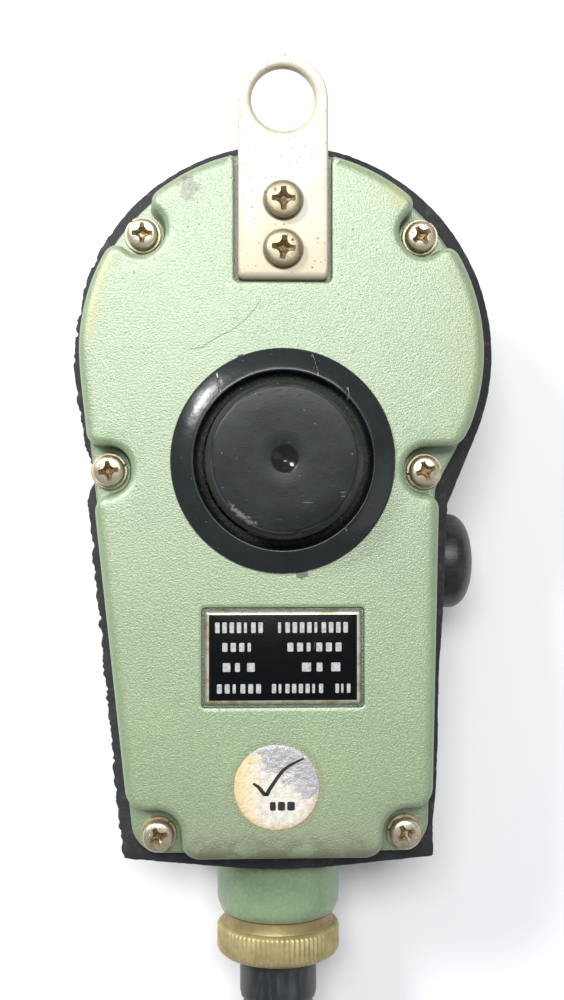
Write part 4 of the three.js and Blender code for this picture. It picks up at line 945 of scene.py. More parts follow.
cord_curve.bevel_depth = CORD_RADIUS * MM
cord_curve.bevel_resolution = 5
cord_curve.resolution_u = 4
cord_line = cord_curve.splines.new("BEZIER")
cord_line.bezier_points.add(len(cord_points) - 1)
for knot, point in zip(cord_line.bezier_points, cord_points):
    knot.co = Vector(point) * MM
    knot.handle_left_type = knot.handle_right_type = "AUTO"
cord_curve.materials.append(cord_rubber)
cord = bpy.data.objects.new("cord", cord_curve)
bpy.context.collection.objects.link(cord)
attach(cord, "root")
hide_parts("cord_lead", "cord_coil", "cord_tail")

# The plug lies beside the coil, pointing back along the microphone.
PLUG_X, PLUG_Z = -33, 7.6


def along_plug(shape, node):
    """Lay a turned form along the plug's axis, from where its CAD node starts."""
    start = box_mm(node)[0].y
    return shape.moved(lambda p: (PLUG_X + p.x, p.z + start, PLUG_Z - p.y))


sleeve_profile = [(3.6, 0), (4.4, 0), (4.9, 0.6), (5.2, 3.0)]
for k in range(6):
    start = 3.4 + k * 1.9
    swell = 5.3 + 0.32 * k
    sleeve_profile += [(swell, start), (swell + 0.15, start + 0.2), (swell + 0.15, start + 1.1)]
    sleeve_profile += [(swell - 0.35, start + 1.3), (swell - 0.3, start + 1.8)]
sleeve_profile += [(6.9, 15.6), (7.2, 16.2), (7.2, 28.6), (7.0, 29.5), (6.5, 30), (5.2, 30)]
plug_sleeve = make(
    "plug_grip",
    along_plug(lathed(sleeve_profile, 48), "plug_sleeve"),
    sleeve_plastic,
    replaces=["plug_sleeve"],
)
contact_profile = [
    (0, 0), (5, 0), (5, 1.6), (4.6, 2), (3.17, 2), (3.17, 8.8), (3.02, 8.9), (3.02, 9.7),
    (3.17, 9.8), (3.17, 17.2), (3.02, 17.3), (3.02, 18.1), (3.17, 18.2), (3.17, 21.2),
    (2.2, 22.9), (2.2, 23.6), (3.1, 24.8), (3.0, 25.8), (1.6, 27.7), (0.5, 28), (0, 28),
]
plug_pin = make(
    "plug_pin",
    along_plug(lathed(contact_profile, 48), "plug_contact"),
    contact_metal,
    replaces=["plug_contact"],
)

# A cloth tie goes round all the turns of the coil at its far side.
tie = Shape()
tie_rings = []
for side in (-2.6, 2.6):
    corners = ((-258, 0.35), (-287, 0.35), (-287, 14.3), (-258, 14.3))
    bend = rounded([(y, z, 3.3) for y, z in corners], 1.0)
    outside = shifted(bend, inwards(bend), -0.7)
    tie_rings.append([tie.ring([(side, p.x, p.y) for p in loop]) for loop in (bend, outside)])
tie.bridge(tie_rings[1][0], tie_rings[0][0])
tie.bridge(tie_rings[1][1], tie_rings[1][0])
tie.bridge(tie_rings[0][1], tie_rings[1][1])
tie.bridge(tie_rings[0][0], tie_rings[0][1])
cord_tie = make("cord_tie", tie, tie_cloth)


# ---------------------------------------------------------------------------------------------
# Outlines of the case
# ---------------------------------------------------------------------------------------------

def head_arc(start, end, radius=HEAD, step=3.0, middle=(0, 0), clear=3.4):
    """Corners along the round head from one angle to another, in degrees, short of both ends."""
    parts = max(1, round(abs(end - start) / step))
    corners = []
    for k in range(parts + 1):
        angle = math.radians(start + (end - start) * k / parts)
        if radius * abs(end - start) * min(k, parts - k) / parts * math.pi / 180 > clear:
            x = middle[0] + radius * math.cos(angle)
            corners.append((x, middle[1] + radius * math.sin(angle), 0))
    return corners


def on_head(angle, round_off):
    """A corner on the head's edge."""
    angle = math.radians(angle)
    return (HEAD * math.cos(angle), HEAD * math.sin(angle), round_off)


def head_pocket(middle, angle, half_mouth):
    """Corners of a pocket round a cover screw that opens outwards through the head's edge."""
    out = Vector((math.cos(math.radians(angle)), math.sin(math.radians(angle))))
    side = Vector((-out.y, out.x))
    back = [Vector(middle) - out * 4.0 + side * s * 4.0 for s in (-1, 1)]
    return [
        on_head(angle - half_mouth, 2.3),
        (*back[0], 3.9),
        (*back[1], 3.9),
        on_head(angle + half_mouth, 2.3),
    ]


def on_side(top, foot_x, y):
    """The point at a height on the straight side between its top and the foot."""
    x = top[0] + (y - top[1]) * (foot_x - top[0]) / (FOOT_Y - top[1])
    return x, y


case_outline = rounded(
    [(FOOT_X, FOOT_Y, 5.5), (*KNEE, 4), (*RIGHT_TANGENT, 4)]
    + head_arc(-27.9, 186.2)
    + [(*LEFT_TANGENT, 4), (-FOOT_X, FOOT_Y, 5.5)]
)
screw_x, screw_y = HEAD_SCREW
slot_top = math.sqrt(HEAD ** 2 - SLOT_HALF_WIDTH ** 2)
raised_outline = rounded(
    [
        (17.4, FOOT_Y, 3.2), (17.6, -79.4, 4.3), (*on_side(KNEE, FOOT_X, -79.4), 3.6),
        (*on_side(KNEE, FOOT_X, -25.0), 2.4), (21.1, -24.8, 4.0), (21.1, -16.5, 4.0),
        (31.1, -16.3, 3.4), *head_arc(-27.9, 33.2), *head_pocket((screw_x, screw_y), 40.3, 7.1),
        *head_arc(47.4, 76.15), (SLOT_HALF_WIDTH, slot_top, 0.7), (SLOT_HALF_WIDTH, 11.95, 0.8),
        (-SLOT_HALF_WIDTH, 11.95, 0.8), (-SLOT_HALF_WIDTH, slot_top, 0.7),
        *head_arc(103.85, 132.6), *head_pocket((-screw_x, screw_y), 139.7, 7.1),
        *head_arc(146.8, 186.2), (*LEFT_TANGENT, 4), (*on_side(LEFT_TANGENT, -FOOT_X, -16.2), 2.4),
        (-26.2, -16.6, 4.0), (-26.2, -24.8, 4.0), (*on_side(LEFT_TANGENT, -FOOT_X, -25.2), 2.8),
        (*on_side(LEFT_TANGENT, -FOOT_X, -79.4), 3.6), (-17.6, -79.4, 4.3), (-17.4, FOOT_Y, 3.2),
    ],
    0.32,
)


# ---------------------------------------------------------------------------------------------
# Rear cover
# ---------------------------------------------------------------------------------------------

COVER_BORE = 16.2

edge_points = KDTree(len(case_outline))
for i, p in enumerate(case_outline):
    edge_points.insert((p.x, p.y, 0), i)
edge_points.balance()

rolls, pocket_shares = [], []
for p in raised_outline:
    off_edge = edge_points.find((p.x, p.y, 0))[2] > 0.45
    in_slot = off_edge and abs(p.x) < 8.8 and p.y > 11.5
    rolls.append(0.45 if in_slot else 1.35 if off_edge else 2.1)
    pocket_shares.append(1.0 if off_edge and not in_slot else 0.0)
rolls = softened(rolls, 3, 2)
pocket_shares = softened(pocket_shares, 3, 2)
raised_inwards = inwards(raised_outline)

cover = Shape()
cover_rings = []
for z, flare in ((JOINT, -0.55), (POCKET_FLOOR, -0.55), (31.2, -0.2), (31.7, 0.0)):
    shape = shifted(raised_outline, raised_inwards, [flare * s for s in pocket_shares])
    cover_rings.append(cover.level(shape, z))
for share_in, share_down in quarter(1.0, 7):
    shape = shifted(raised_outline, raised_inwards, [share_in * r for r in rolls])
    cover_rings.append(cover.ring([
        (p.x, p.y, TOP - share_down * min(r, 1.9)) for p, r in zip(shape, rolls)
    ]))
cover.join(cover_rings)
bore = circle(COVER_BORE, *TALK)
bore_top, bore_bottom = cover.stack([(bore, TOP), (bore, JOINT)])
recess = rounded_box(-14.05, 14.05, PLATE_Y - 8.65, PLATE_Y + 8.65, 0.5)
recess_inwards = inwards(recess)
recess_rings = cover.stack([
    (shifted(recess, recess_inwards, a), z)
    for a, z in ((-0.75, TOP), (-0.3, TOP), (-0.06, 36.38), (0, 36.2), (0.05, 35.75))
])
cover.cap(recess_rings[-1])
spread = [(x * 2.6, y * 2.6) for x in range(-14, 15) for y in range(-34, 14)]
cover.cap(cover_rings[-1], [bore_top, recess_rings[0]], grid=spread)
cover.cap(cover_rings[0], [bore_bottom], up=False)

# The low floor that shows in the pockets, and the slot's floor under the hanger.
case_inwards = inwards(case_outline)
floor_rings = cover.stack([
    (shifted(case_outline, case_inwards, 0.05 + a), z)
    for a, z in ((0, JOINT), *((a, POCKET_FLOOR - b) for a, b in quarter(0.5, 4)))
])
floor_bore = cover.level(circle(COVER_BORE + 0.4, *TALK), POCKET_FLOOR)
cover.cap(floor_rings[-1], [floor_bore])
slot_outline = rounded([
    (9.2, 11.2, 0.3), (9.2, 34.0, 0.3), *head_arc(74.9, 105.1, HEAD - 0.08, clear=0.8),
    (-9.2, 34.0, 0.3), (-9.2, 11.2, 0.3),
])
slot_inwards = inwards(slot_outline)
slot_rings = cover.stack([
    (shifted(slot_outline, slot_inwards, a), z)
    for a, z in ((0, JOINT), *((a, SLOT_FLOOR - b) for a, b in quarter(0.6, 4)))
])
cover.cap(slot_rings[-1])
make("rear_cover_casting", cover, enamel, replaces=["rear_cover"], sharp=40)


# ---------------------------------------------------------------------------------------------
# Front shell
# ---------------------------------------------------------------------------------------------

def pierced_wall(shape, upper, lower, y, z, radius):
    """The side wall between two rings, with a round hole in its right side for the button."""
    hole = {}
    for i, n in enumerate(upper):
        point = shape.points[n]
        if point.x > 20 and abs(point.y - y) < radius:
            reach = math.sqrt(radius ** 2 - (point.y - y) ** 2)
            hole[i] = shape.ring([(point.x, point.y, z + reach), (point.x, point.y, z - reach)])
    for i in range(len(upper)):
        j = (i + 1) % len(upper)
        if i in hole and j in hole:
            shape.faces.append((hole[i][0], hole[j][0], upper[j], upper[i]))
            shape.faces.append((lower[i], lower[j], hole[j][1], hole[i][1]))
        else:
            right, left = hole.get(j, ())[::-1], hole.get(i, ())
            shape.faces.append((lower[i], lower[j], *right, upper[j], upper[i], *left))


shell = Shape()
shell_rings = [
    shell.level(shifted(case_outline, case_inwards, 0.3), 27.0), shell.level(case_outline, 26.7)
]
for share_in, share_down in quarter(1.0, 9):
    shape = shifted(case_outline, case_inwards, share_in * 5.0)
    shell_rings.append(shell.level(shape, share_down * 4.5))
for number, (upper, lower) in enumerate(zip(shell_rings, shell_rings[1:])):
    if number == 1:
        pierced_wall(shell, upper, lower, *SIDE_AXIS, 9.3)
    else:
        shell.bridge(lower, upper)
GRILLE = 18.7
mouth = [
    shell.level(circle(GRILLE + a, 0, 0, 128), z)
    for a, z in ((1.5, 0), (0.9, 0.25), (0.45, 0.9), (0.3, 1.6), (0.3, 4))
]
for lower, upper in zip(mouth, mouth[1:]):
    shell.bridge(upper, lower)
shell.cap(shell_rings[-1], [mouth[0]], up=False)
side_boss = [
    (10.6, 18), (10.6, 26.6), (10.5, 27.6), (10.1, 28.2), (9.5, 28.4), (9.25, 28.3), (9.25, 26)
]
shell.add(lathed(side_boss, 96).along_x(*SIDE_AXIS))
neck = [
    (13.0, 86.5), (12.2, 88.1), (11.7, 89.0), (11.5, 90.2), (11.5, 100.4), (11.4, 101.2),
    (10.95, 102.4), (10.7, 102.9), (10.3, 103.0), (8.4, 103.0), (8.4, 98),
]
shell.add(lathed(neck, 128).along_y(*GLAND_AXIS))
make("front_shell_casting", shell, shell_enamel, replaces=["front_shell"], sharp=40)


# ---------------------------------------------------------------------------------------------
# Gasket
# ---------------------------------------------------------------------------------------------

gasket_outline = rounded(
    [
        (27.4, -89.8, 0.3), (30.0, -26.5, 1.5), *head_arc(-27.0, 186.4, 37.6, middle=(0.45, 0.4)),
        (-28.3, -89.6, 0.2), (0, -92.3, 100),
    ],
    0.35,
)
# Where the sheet's edge is torn away: x, y, depth and width of each bite.
BITES = (
    (-34.6, -20.8, 1.7, 2.4), (-29.4, -86.6, 1.1, 0.5), (-36.2, -14.0, 0.5, 3.0),
    (-37.6, 8.0, 0.5, 3.5), (29.0, -58.0, 0.3, 6.0), (27.8, -84.0, 0.35, 2.5),
)
torn = []
for p in gasket_outline:
    left = min(1, max(0, (-24 - p.x) / 6)) * min(1, max(0, (24 - p.y) / 8))
    rough = 0.08 + 0.3 * left
    ragged = noise.noise((p.x * 0.55, p.y * 0.55, 2.0))
    ragged += 0.7 * noise.noise((p.x * 1.4, p.y * 1.4, 7.0))
    if left > 0:
        ragged += 0.6 * (abs(noise.noise((p.x * 0.7, p.y * 0.7, 4.0))) > 0.33)
    depth = max(-0.25, rough * ragged)
    for x, y, most, width in BITES:
        depth += most * math.exp(-((p.x - x) ** 2 + (p.y - y) ** 2) / (2 * width * width))
    torn.append(depth)
gasket_inwards = inwards(gasket_outline)
window = shifted(case_outline, case_inwards, 6.2)[::3]
gasket = Shape()
gasket_rings = gasket.stack([
    (shifted(gasket_outline, gasket_inwards, [inset + t for t in torn]), z)
    for inset, z in ((0.2, 26.99), (0.0, 27.2), (-0.04, 27.8), (0.03, 28.3), (0.25, 28.51))
])
window_top, window_bottom = gasket.stack([(window, 28.51), (window, 26.99)])
gasket.cap(gasket_rings[-1], [window_top])
gasket.cap(gasket_rings[0], [window_bottom], up=False)
make("gasket_sheet", gasket, gasket_rubber, replaces=["gasket"], sharp=50)


# ---------------------------------------------------------------------------------------------
# Screws and washers
# ---------------------------------------------------------------------------------------------

def cross_outline(arm, width, waist, soft):
    """A four-armed driver recess whose arms widen towards the middle."""
    corners = []
    for quarter_turn in range(4):
        turn = Matrix.Rotation(quarter_turn * math.pi / 2, 2)
        for x, y, radius in (
            (arm, -width, 0.12), (arm, width, 0.12), (arm * 0.6, width * 1.15, 0.3),
            (waist, waist, soft), (width * 1.15, arm * 0.6, 0.3),
        ):
            corners.append((*(turn @ Vector((x, y))), radius))
    return rounded(corners, arm * 0.07)


def pan_screw(radius, height, arm, width, shank, length):
    """A pan head with a cross recess and a round mark, seated at z = 0 with its shank below."""
    screw = Shape()

    def dome(x, y):
        share = min(1, math.hypot(x, y) / radius)
        return height * (1 - 0.2 * share ** 3)

    edge = [(radius * 0.94, 0), (radius, height * 0.1), (radius, height * 0.42)]
    for k in range(1, 6):
        angle = math.pi / 2 * k / 6
        across = radius * (0.86 + 0.14 * math.cos(angle))
        edge.append((across, height * (0.42 + 0.42 * math.sin(angle))))
    rings = screw.lathe([(shank, -length), (shank, -0.02), *edge], 64)
    rim = screw.level(circle(radius * 0.84, 0, 0, 64), dome(radius * 0.84, 0))
    screw.bridge(rings[-1], rim)
    cross = cross_outline(arm, width, width * 1.75, 0.35)
    loops = []
    for scale, drop in ((1.0, 0.0), (0.94, 0.12), (0.8, height * 0.3), (0.62, height * 0.48)):
        loops.append(screw.ring([(p.x * scale, p.y * scale, dome(p.x, p.y) - drop) for p in cross]))
    screw.join(loops)
    pit = [Vector((p.x, p.y)).normalized() * 0.28 * arm for p in cross]
    deepest = screw.level(pit, height * 0.3)
    screw.bridge(loops[-1], deepest)
    screw.lid(deepest)
    mark = radius * 0.62
    spot = circle(radius * 0.085, -mark * 0.707, mark * 0.707, 12)
    spot_rim = screw.ring([(p.x, p.y, dome(p.x, p.y)) for p in spot])
    spot_floor = screw.ring([
        (p.x * 0.5 - mark * 0.3535, p.y * 0.5 + mark * 0.3535, dome(p.x, p.y) - 0.12) for p in spot
    ])
    screw.bridge(spot_rim, spot_floor)
    screw.lid(spot_floor)
    loose = [p for share in (0.5, 0.62, 0.73) for p in circle(radius * share, 0, 0, 32)]
    screw.cap(rim, [loops[0], spot_rim], grid=loose, height=dome)
    return screw


def placed(shape, x, y, z, turn, lean=0.0):
    """A shape turned about Z, leant a little and set down at a place."""
    spin = Matrix.Rotation(math.radians(turn), 3, "Z")
    spin = spin @ Matrix.Rotation(math.radians(lean), 3, "X")
    return shape.moved(lambda p: spin @ p + Vector((x, y, z)))


# Each cover screw: x, y, the turn of its cross and the turn of the gap in its washer.
COVER_SCREWS = (
    (-screw_x, screw_y, 0, 130), (screw_x, screw_y, 33, 60), (-30.3, -20.7, 8, 20),
    (25.2, -20.7, -162, 190), (-21.7, -84.5, 22, 50), (21.7, -84.5, -150, 170),
)
for number, (x, y, turn, gap) in enumerate(COVER_SCREWS, 1):
    make(
        f"cover_screw_head_{number}",
        placed(pan_screw(2.75, 1.95, 1.78, 0.4, 1.2, 12), x, y, 32.0, turn, 0.8),
        screw_plate,
        replaces=[f"cover_screw_{number}"],
    )
    washer = Shape()
    section = [(1.6, 0.0), (3.05, 0.0), (3.2, 0.12), (3.2, 0.68), (3.08, 0.8), (1.6, 0.8)]
    slices = []
    for k in range(61):
        angle = math.radians(4 + 352 * k / 60)
        rise = 0.16 * k / 60
        slices.append(washer.ring([
            (r * math.cos(angle), r * math.sin(angle), z + rise) for r, z in section
        ]))
    washer.join(slices)
    washer.lid(slices[0], up=False)
    washer.lid(slices[-1])
    washer.faces = [face[::-1] for face in washer.faces]
    make(
        f"split_washer_{number}",
        placed(washer, x, y, 31.04, gap),
        washer_plate,
        replaces=[f"lock_washer_{number}"],
    )


# ---------------------------------------------------------------------------------------------
# Hanger bracket
# ---------------------------------------------------------------------------------------------

bracket_outline = rounded(
    [
        (HANGER_HALF_WIDTH, 12.4, 0.9), (HANGER_HALF_WIDTH, EYE_Y, 0),
        *head_arc(0, 180, HANGER_HALF_WIDTH, 6, (0, EYE_Y), 0.3),
        (-HANGER_HALF_WIDTH, EYE_Y, 0), (-HANGER_HALF_WIDTH, 12.4, 0.9),
    ],
    0.3,
)
bracket_inwards = inwards(bracket_outline)
bracket_rolls = softened([1.25 if p.y < 13.2 else 0.42 for p in bracket_outline], 3, 2)
bracket = Shape()
bracket_rings = [
    bracket.level(shifted(bracket_outline, bracket_inwards, a), z)
    for a, z in ((0.3, 34.7), (0.0, 35.0))
]
for share_in, share_down in quarter(1.0, 6):
    shape = shifted(bracket_outline, bracket_inwards, [share_in * r for r in bracket_rolls])
    bracket_rings.append(bracket.ring([
        (p.x, p.y, 36.9 - share_down * r) for p, r in zip(shape, bracket_rolls)
    ]))
bracket.join(bracket_rings)
eye_profile = [
    (6.35, 36.9), (6.0, 36.84), (5.72, 36.66), (5.54, 36.36), (5.5, 36.0), (5.5, 35.2),
    (5.7, 34.85), (6.0, 34.7),
]
eye = bracket.stack([(circle(radius, 0, EYE_Y, 72), z) for radius, z in eye_profile])
bracket.cap(bracket_rings[-1], [eye[0]])
bracket.cap(bracket_rings[0], [eye[-1]], up=False)
make(
    "hanger_plate", bracket, bracket_plate, replaces=["hanger_bracket"], sharp=45
)

for number, (y, turn) in enumerate(zip(HANGER_SCREW_YS, (-96, 0)), 1):
    make(
        f"hanger_screw_head_{number}",
        placed(pan_screw(3.18, 1.75, 2.05, 0.46, 1.4, 8), 0, y, 36.95, turn),
        hanger_screw_plate,
        replaces=[f"hanger_screw_{number}"],
    )


# ---------------------------------------------------------------------------------------------
# Talk button in its boot
# ---------------------------------------------------------------------------------------------

def at_talk(p):
    return (p.x, p.y + TALK.y, p.z)


boot_profile = [(14.0, 33.9), (19.0, 36.6), (19.35, 36.62), (19.45, 36.78), (19.4, 36.98)]
for k in range(1, 10):
    share = k / 9
    crown = 0.16 * math.sin(share * math.pi)
    boot_profile.append((19.4 - 3.65 * share, 36.98 + 1.74 * share + crown))
boot_profile += [
    (15.6, 38.73), (15.45, 38.68), (15.36, 38.5), (15.3, 37.4), (15.1, 36.4), (14.6, 36.0),
    (14.1, 36.0), (13.87, 35.9), (13.86, 34.2), (14.0, 33.9),
]
boot = lathed(boot_profile, 160).moved(at_talk)
# Torn scraps of flash that stick out from under the flange.
for tag in (
    ((2.2, -38.2), (4.2, -38.1), (4.35, -38.9), (3.6, -39.0), (3.4, -39.3), (2.35, -39.1)),
    ((-7.9, -0.9), (-7.4, -0.75), (-6.9, -0.6), (-6.8, -1.1), (-7.8, -1.4)),
):
    tag_outline = rounded([(x, y, 0.06) for x, y in reversed(tag)], 0.12)
    tag_rings = boot.stack([(tag_outline, 36.45), (tag_outline, 36.72)])
    boot.lid(tag_rings[-1])
    boot.lid(tag_rings[0], up=False)
make("boot_flange", boot, boot_rubber, replaces=["button_boot"], sharp=50)
button_profile = [
    (0, 41.5), (12.2, 41.5), (12.3, 41.3), (12.3, 33.4), (13.35, 33.4), (13.45, 33.6),
    (13.45, 42.45), (13.4, 42.65), (13.3, 43.05), (12.5, 44.12), (12.32, 44.32), (12.1, 44.42),
    (11.8, 44.46), (8.0, 44.44), (5.0, 44.42), (2.5, 44.42), (2.3, 44.38), (2.12, 44.24),
    (1.6, 43.9), (0.5, 43.42), (0.2, 43.36), (0, 43.36),
]
make(
    "button_cap",
    lathed(button_profile, 160).moved(at_talk),
    button_rubber,
    body="talk_button",
    replaces=["talk_button"],
    sharp=40,
)


# ---------------------------------------------------------------------------------------------
# Side button, and the springs behind both buttons
# ---------------------------------------------------------------------------------------------

def coil_spring(radius, wire, length, turns=5):
    """A helix of round wire along +Z from z = 0, with its wire's middle at the radius."""
    spring = Shape()
    rings = []
    for k in range(turns * 24 + 1):
        angle = 2 * math.pi * k / 24
        out = Vector((math.cos(angle), math.sin(angle), 0))
        rise = wire + (length - 2 * wire) * k / (turns * 24)
        middle = out * radius + Vector((0, 0, rise))
        rings.append(spring.ring([
            middle + out * wire * math.cos(a) + Vector((0, 0, wire * math.sin(a)))
            for a in (math.pi * n / 5 for n in range(10))
        ]))
    for one, other in zip(rings, rings[1:]):
        spring.bridge(other, one)
    spring.lid(rings[0])
    spring.lid(rings[-1], up=False)
    return spring


def return_spring(name, node, axis, wire, turn_over):
    """The spring behind a button, a coil of wire in its CAD node's place."""
    low, high = box_mm(node)
    length = (high - low)[axis]
    middle = (low + high) / 2
    middle[axis] = low[axis]
    radius = (high - low)[1] / 2 - wire
    spring = turn_over(coil_spring(radius, wire, length)).moved(lambda p: p + middle)
    piece = make(name, spring, slot_finishes["spring_steel"], replaces=[node])
    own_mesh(piece)


return_spring("talk_return_spring", "talk_spring", 2, 0.45, lambda s: s)
return_spring(
    "side_return_spring", "side_spring", 0, 0.4, lambda s: s.along_x(0, 0)
)

dome_profile = [(0, 29.0), (8.3, 29.0), (8.75, 29.3), (8.9, 29.9), (8.9, 32.6)]
for k in range(1, 13):
    angle = math.pi / 2 * k / 12
    radius = 8.9 * math.cos(angle) ** 0.75 if k < 12 else 0
    dome_profile.append((radius, 32.6 + 4.05 * math.sin(angle)))
make(
    "side_dome",
    lathed(dome_profile, 96).along_x(*SIDE_AXIS),
    side_rubber,
    body="side_button",
    replaces=["side_button"],
    sharp=45,
)


# ---------------------------------------------------------------------------------------------
# Nameplate and label
# ---------------------------------------------------------------------------------------------

plate_outline = rounded_box(-13.6, 13.6, PLATE_Y - 8.2, PLATE_Y + 8.2, 0.4, 0.5)
plate_inwards = inwards(plate_outline)
plate = Shape()
plate_edge = (
    (0.05, 35.87), (0.0, 35.95), (0.12, 36.1), (0.42, 36.32), (0.5, 36.38), (0.58, 36.4)
)
plate_rings = plate.stack([(shifted(plate_outline, plate_inwards, a), z) for a, z in plate_edge])
plate.cap(plate_rings[-1])
plate.cap(plate_rings[0], up=False)
make("nameplate_sheet", plate, plate_metal, replaces=["nameplate"], sharp=40)

# Each line of print is a row of plain blocks: y, height, then (start, end, blocks) of its words.
PLATE_ROWS = (
    (5.18, 2.3, ((-11.9, -3.2, 7), (-1.05, 11.5, 10))),
    (1.8, 1.9, ((-10.7, -4.9, 4), (0.5, 10.5, 6))),
    (-1.66, 1.9, ((-10.7, -4.4, 3), (2.9, 10.5, 3))),
    (-5.35, 2.0, ((-11.6, -3.5, 6), (-2.1, 7.2, 8), (8.9, 11.9, 3))),
)
blocks = Shape()
for middle, height, words in PLATE_ROWS:
    for start, end, count in words:
        pitch = (end - start) / count
        for k in range(count):
            left = start + pitch * k + pitch * 0.14
            right = left + pitch * (0.62 if (k * 7 + count) % 5 else 0.4)
            low, high = (middle + PLATE_Y + height * part for part in (-0.4, 0.4))
            loop = rounded_box(left, right, low, high, 0.12, 0.14)
            blocks.lid(blocks.stack([(loop, 36.38), (loop, 36.43)])[-1])
make("nameplate_blocks", blocks, plate_marks_paint)

label = Shape()
label_rim = circle(LABEL_RADIUS, 0, 0, 120)
label_rings = []
for scale, z in (
    (1.0, 36.5), (1.0, 36.62), (0.985, 36.68),
    (0.9, 36.69), (0.75, 36.69), (0.5, 36.69), (0.25, 36.69),
):
    ring = []
    for p in label_rim:
        wave = 1 + 0.012 * noise.noise((p.x * 0.5, p.y * 0.5, 3))
        lift = 0.035 * noise.noise((p.x * scale * 0.45, p.y * scale * 0.45, 9)) if z > 36.55 else 0
        ring.append((LABEL[0] + p.x * scale * wave, LABEL[1] + p.y * scale * wave, z + lift))
    label_rings.append(label.ring(ring))
label.join(label_rings)
label.lid(label_rings[-1])
make("label_disc", label, label_paper, replaces=["inspection_label"], sharp=60)


def stroke(path, widths, z):
    """A flat ribbon along a path, with a width at each of its points."""
    ribbon = Shape()
    count = 24
    left, right = [], []
    for k in range(count + 1):
        at = k / count * (len(path) - 1)
        i = min(int(at), len(path) - 2)
        share = at - i
        before, a, b, after = (
            Vector(path[min(max(i + n, 0), len(path) - 1)]) for n in (-1, 0, 1, 2)
        )
        p = 0.5 * (
            2 * a + (b - before) * share
            + (2 * before - 5 * a + 4 * b - after) * share ** 2
            + (3 * a - before - 3 * b + after) * share ** 3
        )
        width = widths[i] + (widths[i + 1] - widths[i]) * share
        ahead = (b - a).normalized()
        across = Vector((-ahead.y, ahead.x)) * width / 2
        left.append(p + across)
        right.append(p - across)
    one, other = ribbon.level(right, z), ribbon.level(left, z)
    ribbon.bridge(one, other, closed=False)
    return ribbon


marks = stroke(
    [(-5.2, -74.6), (-4.2, -75.3), (-3.0, -76.6), (-2.2, -75.4), (0.2, -72.2), (3.6, -70.3)],
    [0.35, 0.6, 0.75, 0.65, 0.55, 0.3], 36.74,
)
for x, width in ((-2.3, 1.0), (-0.9, 1.2), (0.7, 1.3)):
    marks.lid(marks.level(rounded_box(x, x + width, -79.3, -77.8, 0.2, 0.2), 36.735))
make("label_marks", marks, ink)


# ---------------------------------------------------------------------------------------------
# Gland nut and strain relief
# ---------------------------------------------------------------------------------------------

nut = Shape()
KNURLS = 76
# Radius, place along the axis and depth of knurl, up the nut's outside.
nut_profile = [
    (8.0, 103.0, 0), (9.9, 103.0, 0), (10.2, 103.3, 0), (10.3, 104.6, 0), (10.5, 105.2, 0),
    (11.0, 105.5, 0), (11.35, 105.75, 0.5), (11.55, 106.1, 1), (11.55, 109.9, 1),
    (11.4, 110.35, 0.6), (11.1, 110.7, 0.1), (10.7, 111.0, 0), (9.6, 111.2, 0), (7.5, 111.2, 0),
    (7.4, 110.5, 0),
]
nut_rings = []
for radius, z, knurled in nut_profile:
    ring = []
    for k in range(KNURLS * 6):
        angle = 2 * math.pi * k / (KNURLS * 6)
        tooth = abs((k % 6) / 3 - 1)
        r = radius - 0.26 * knurled * tooth
        ring.append((r * math.cos(angle), r * math.sin(angle), z))
    nut_rings.append(nut.ring(ring))
nut.join(nut_rings)
make("knurled_nut", nut.along_y(*GLAND_AXIS), brass, replaces=["gland_nut"], sharp=30)

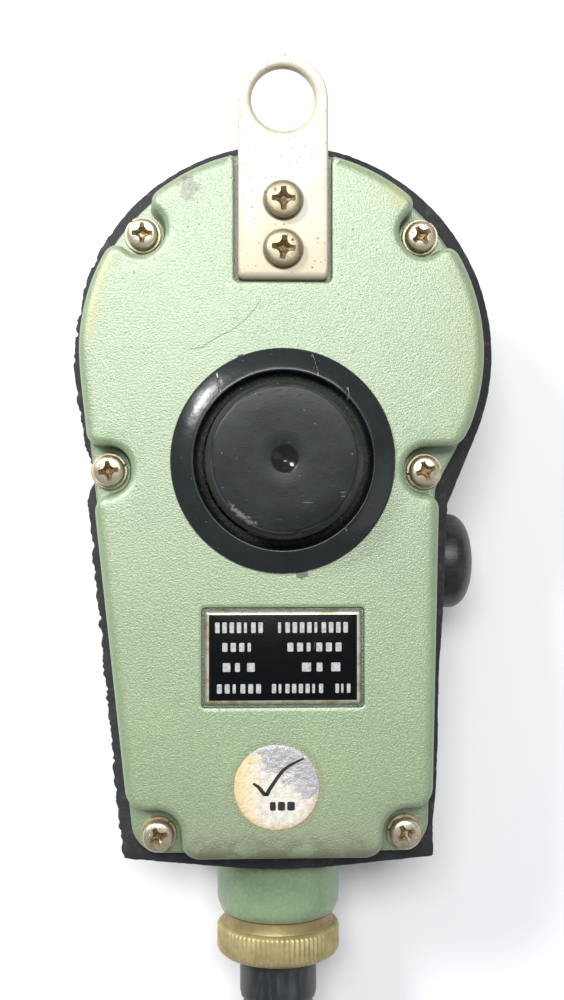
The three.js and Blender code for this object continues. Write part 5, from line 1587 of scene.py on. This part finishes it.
relief_profile = [
    (0, 97), (7.2, 97), (7.2, 111.0), (7.25, 112.0), (7.25, 118.4), (7.05, 119.4), (6.6, 119.9),
    (6.5, 120.6), (6.75, 121.3), (6.7, 124.0), (6.3, 124.5), (6.25, 125.2), (6.45, 125.8),
    (6.35, 128.6), (5.95, 129.1), (5.9, 129.8), (6.1, 130.4), (6.0, 133.2), (5.65, 133.7),
    (5.6, 134.4), (5.75, 135.0), (5.5, 140.8), (5.2, 142.6), (4.6, 143), (3.5, 143),
]
make(
    "strain_sleeve",
    lathed(relief_profile, 72).along_y(*GLAND_AXIS),
    relief_rubber,
    replaces=["strain_relief"],
    sharp=45,
)


# ---------------------------------------------------------------------------------------------
# Finishes of the pieces that keep their CAD shape
# ---------------------------------------------------------------------------------------------

for part in frame["record"]["subparts"]:
    carried = frame["nodes"][part["node"]]
    if not carried.hide_render:
        for held in carried.material_slots:
            held.material = slot_finishes[part["material_slot"]]


# ---------------------------------------------------------------------------------------------
# Floor and light
# ---------------------------------------------------------------------------------------------

paper = Finish("floor_paper")
paper_tone = paper.grain(0.004, 2, 0.5)
floor_mesh = bpy.data.meshes.new("floor")
floor_corners = [(x, y, -0.0004) for x, y in ((-2, -2), (2, -2), (2, 2), (-2, 2))]
floor_mesh.from_pydata(floor_corners, [], [(0, 1, 2, 3)])
floor_mesh.materials.append(paper.set(
    Base_Color=paper.mixed(paper_tone, colour(246, 246, 247), colour(241, 241, 243)), Roughness=0.9
))
floor = bpy.data.objects.new("floor", floor_mesh)
bpy.context.collection.objects.link(floor)


def softbox(name, place, target, width, height, watts):
    """A lit panel at a place, facing a target."""
    lamp = bpy.data.lights.new(name, "AREA")
    lamp.shape = "RECTANGLE"
    lamp.size, lamp.size_y = width, height
    lamp.energy = watts
    holder = bpy.data.objects.new(name, lamp)
    bpy.context.collection.objects.link(holder)
    aim(holder, place, target)


softbox("sky_panel", (-0.02, 0.28, 0.82), (0, -0.02, 0.03), 0.5, 0.24, 5.8)
softbox("window_left", (-0.47, 0.39, 0.52), (0, -0.02, 0.03), 0.15, 0.2, 5.0)
softbox("fill_right", (0.8, -0.3, 0.6), (0, -0.04, 0.03), 0.6, 0.6, 0.8)

world = bpy.data.worlds.new("studio")
world.use_nodes = True
sky = world.node_tree.nodes["Background"]
sky.inputs["Color"].default_value = (0.93, 0.94, 1.0, 1)
sky.inputs["Strength"].default_value = 0.36
bpy.context.scene.world = world
bpy.context.scene.view_settings.view_transform = "Standard"
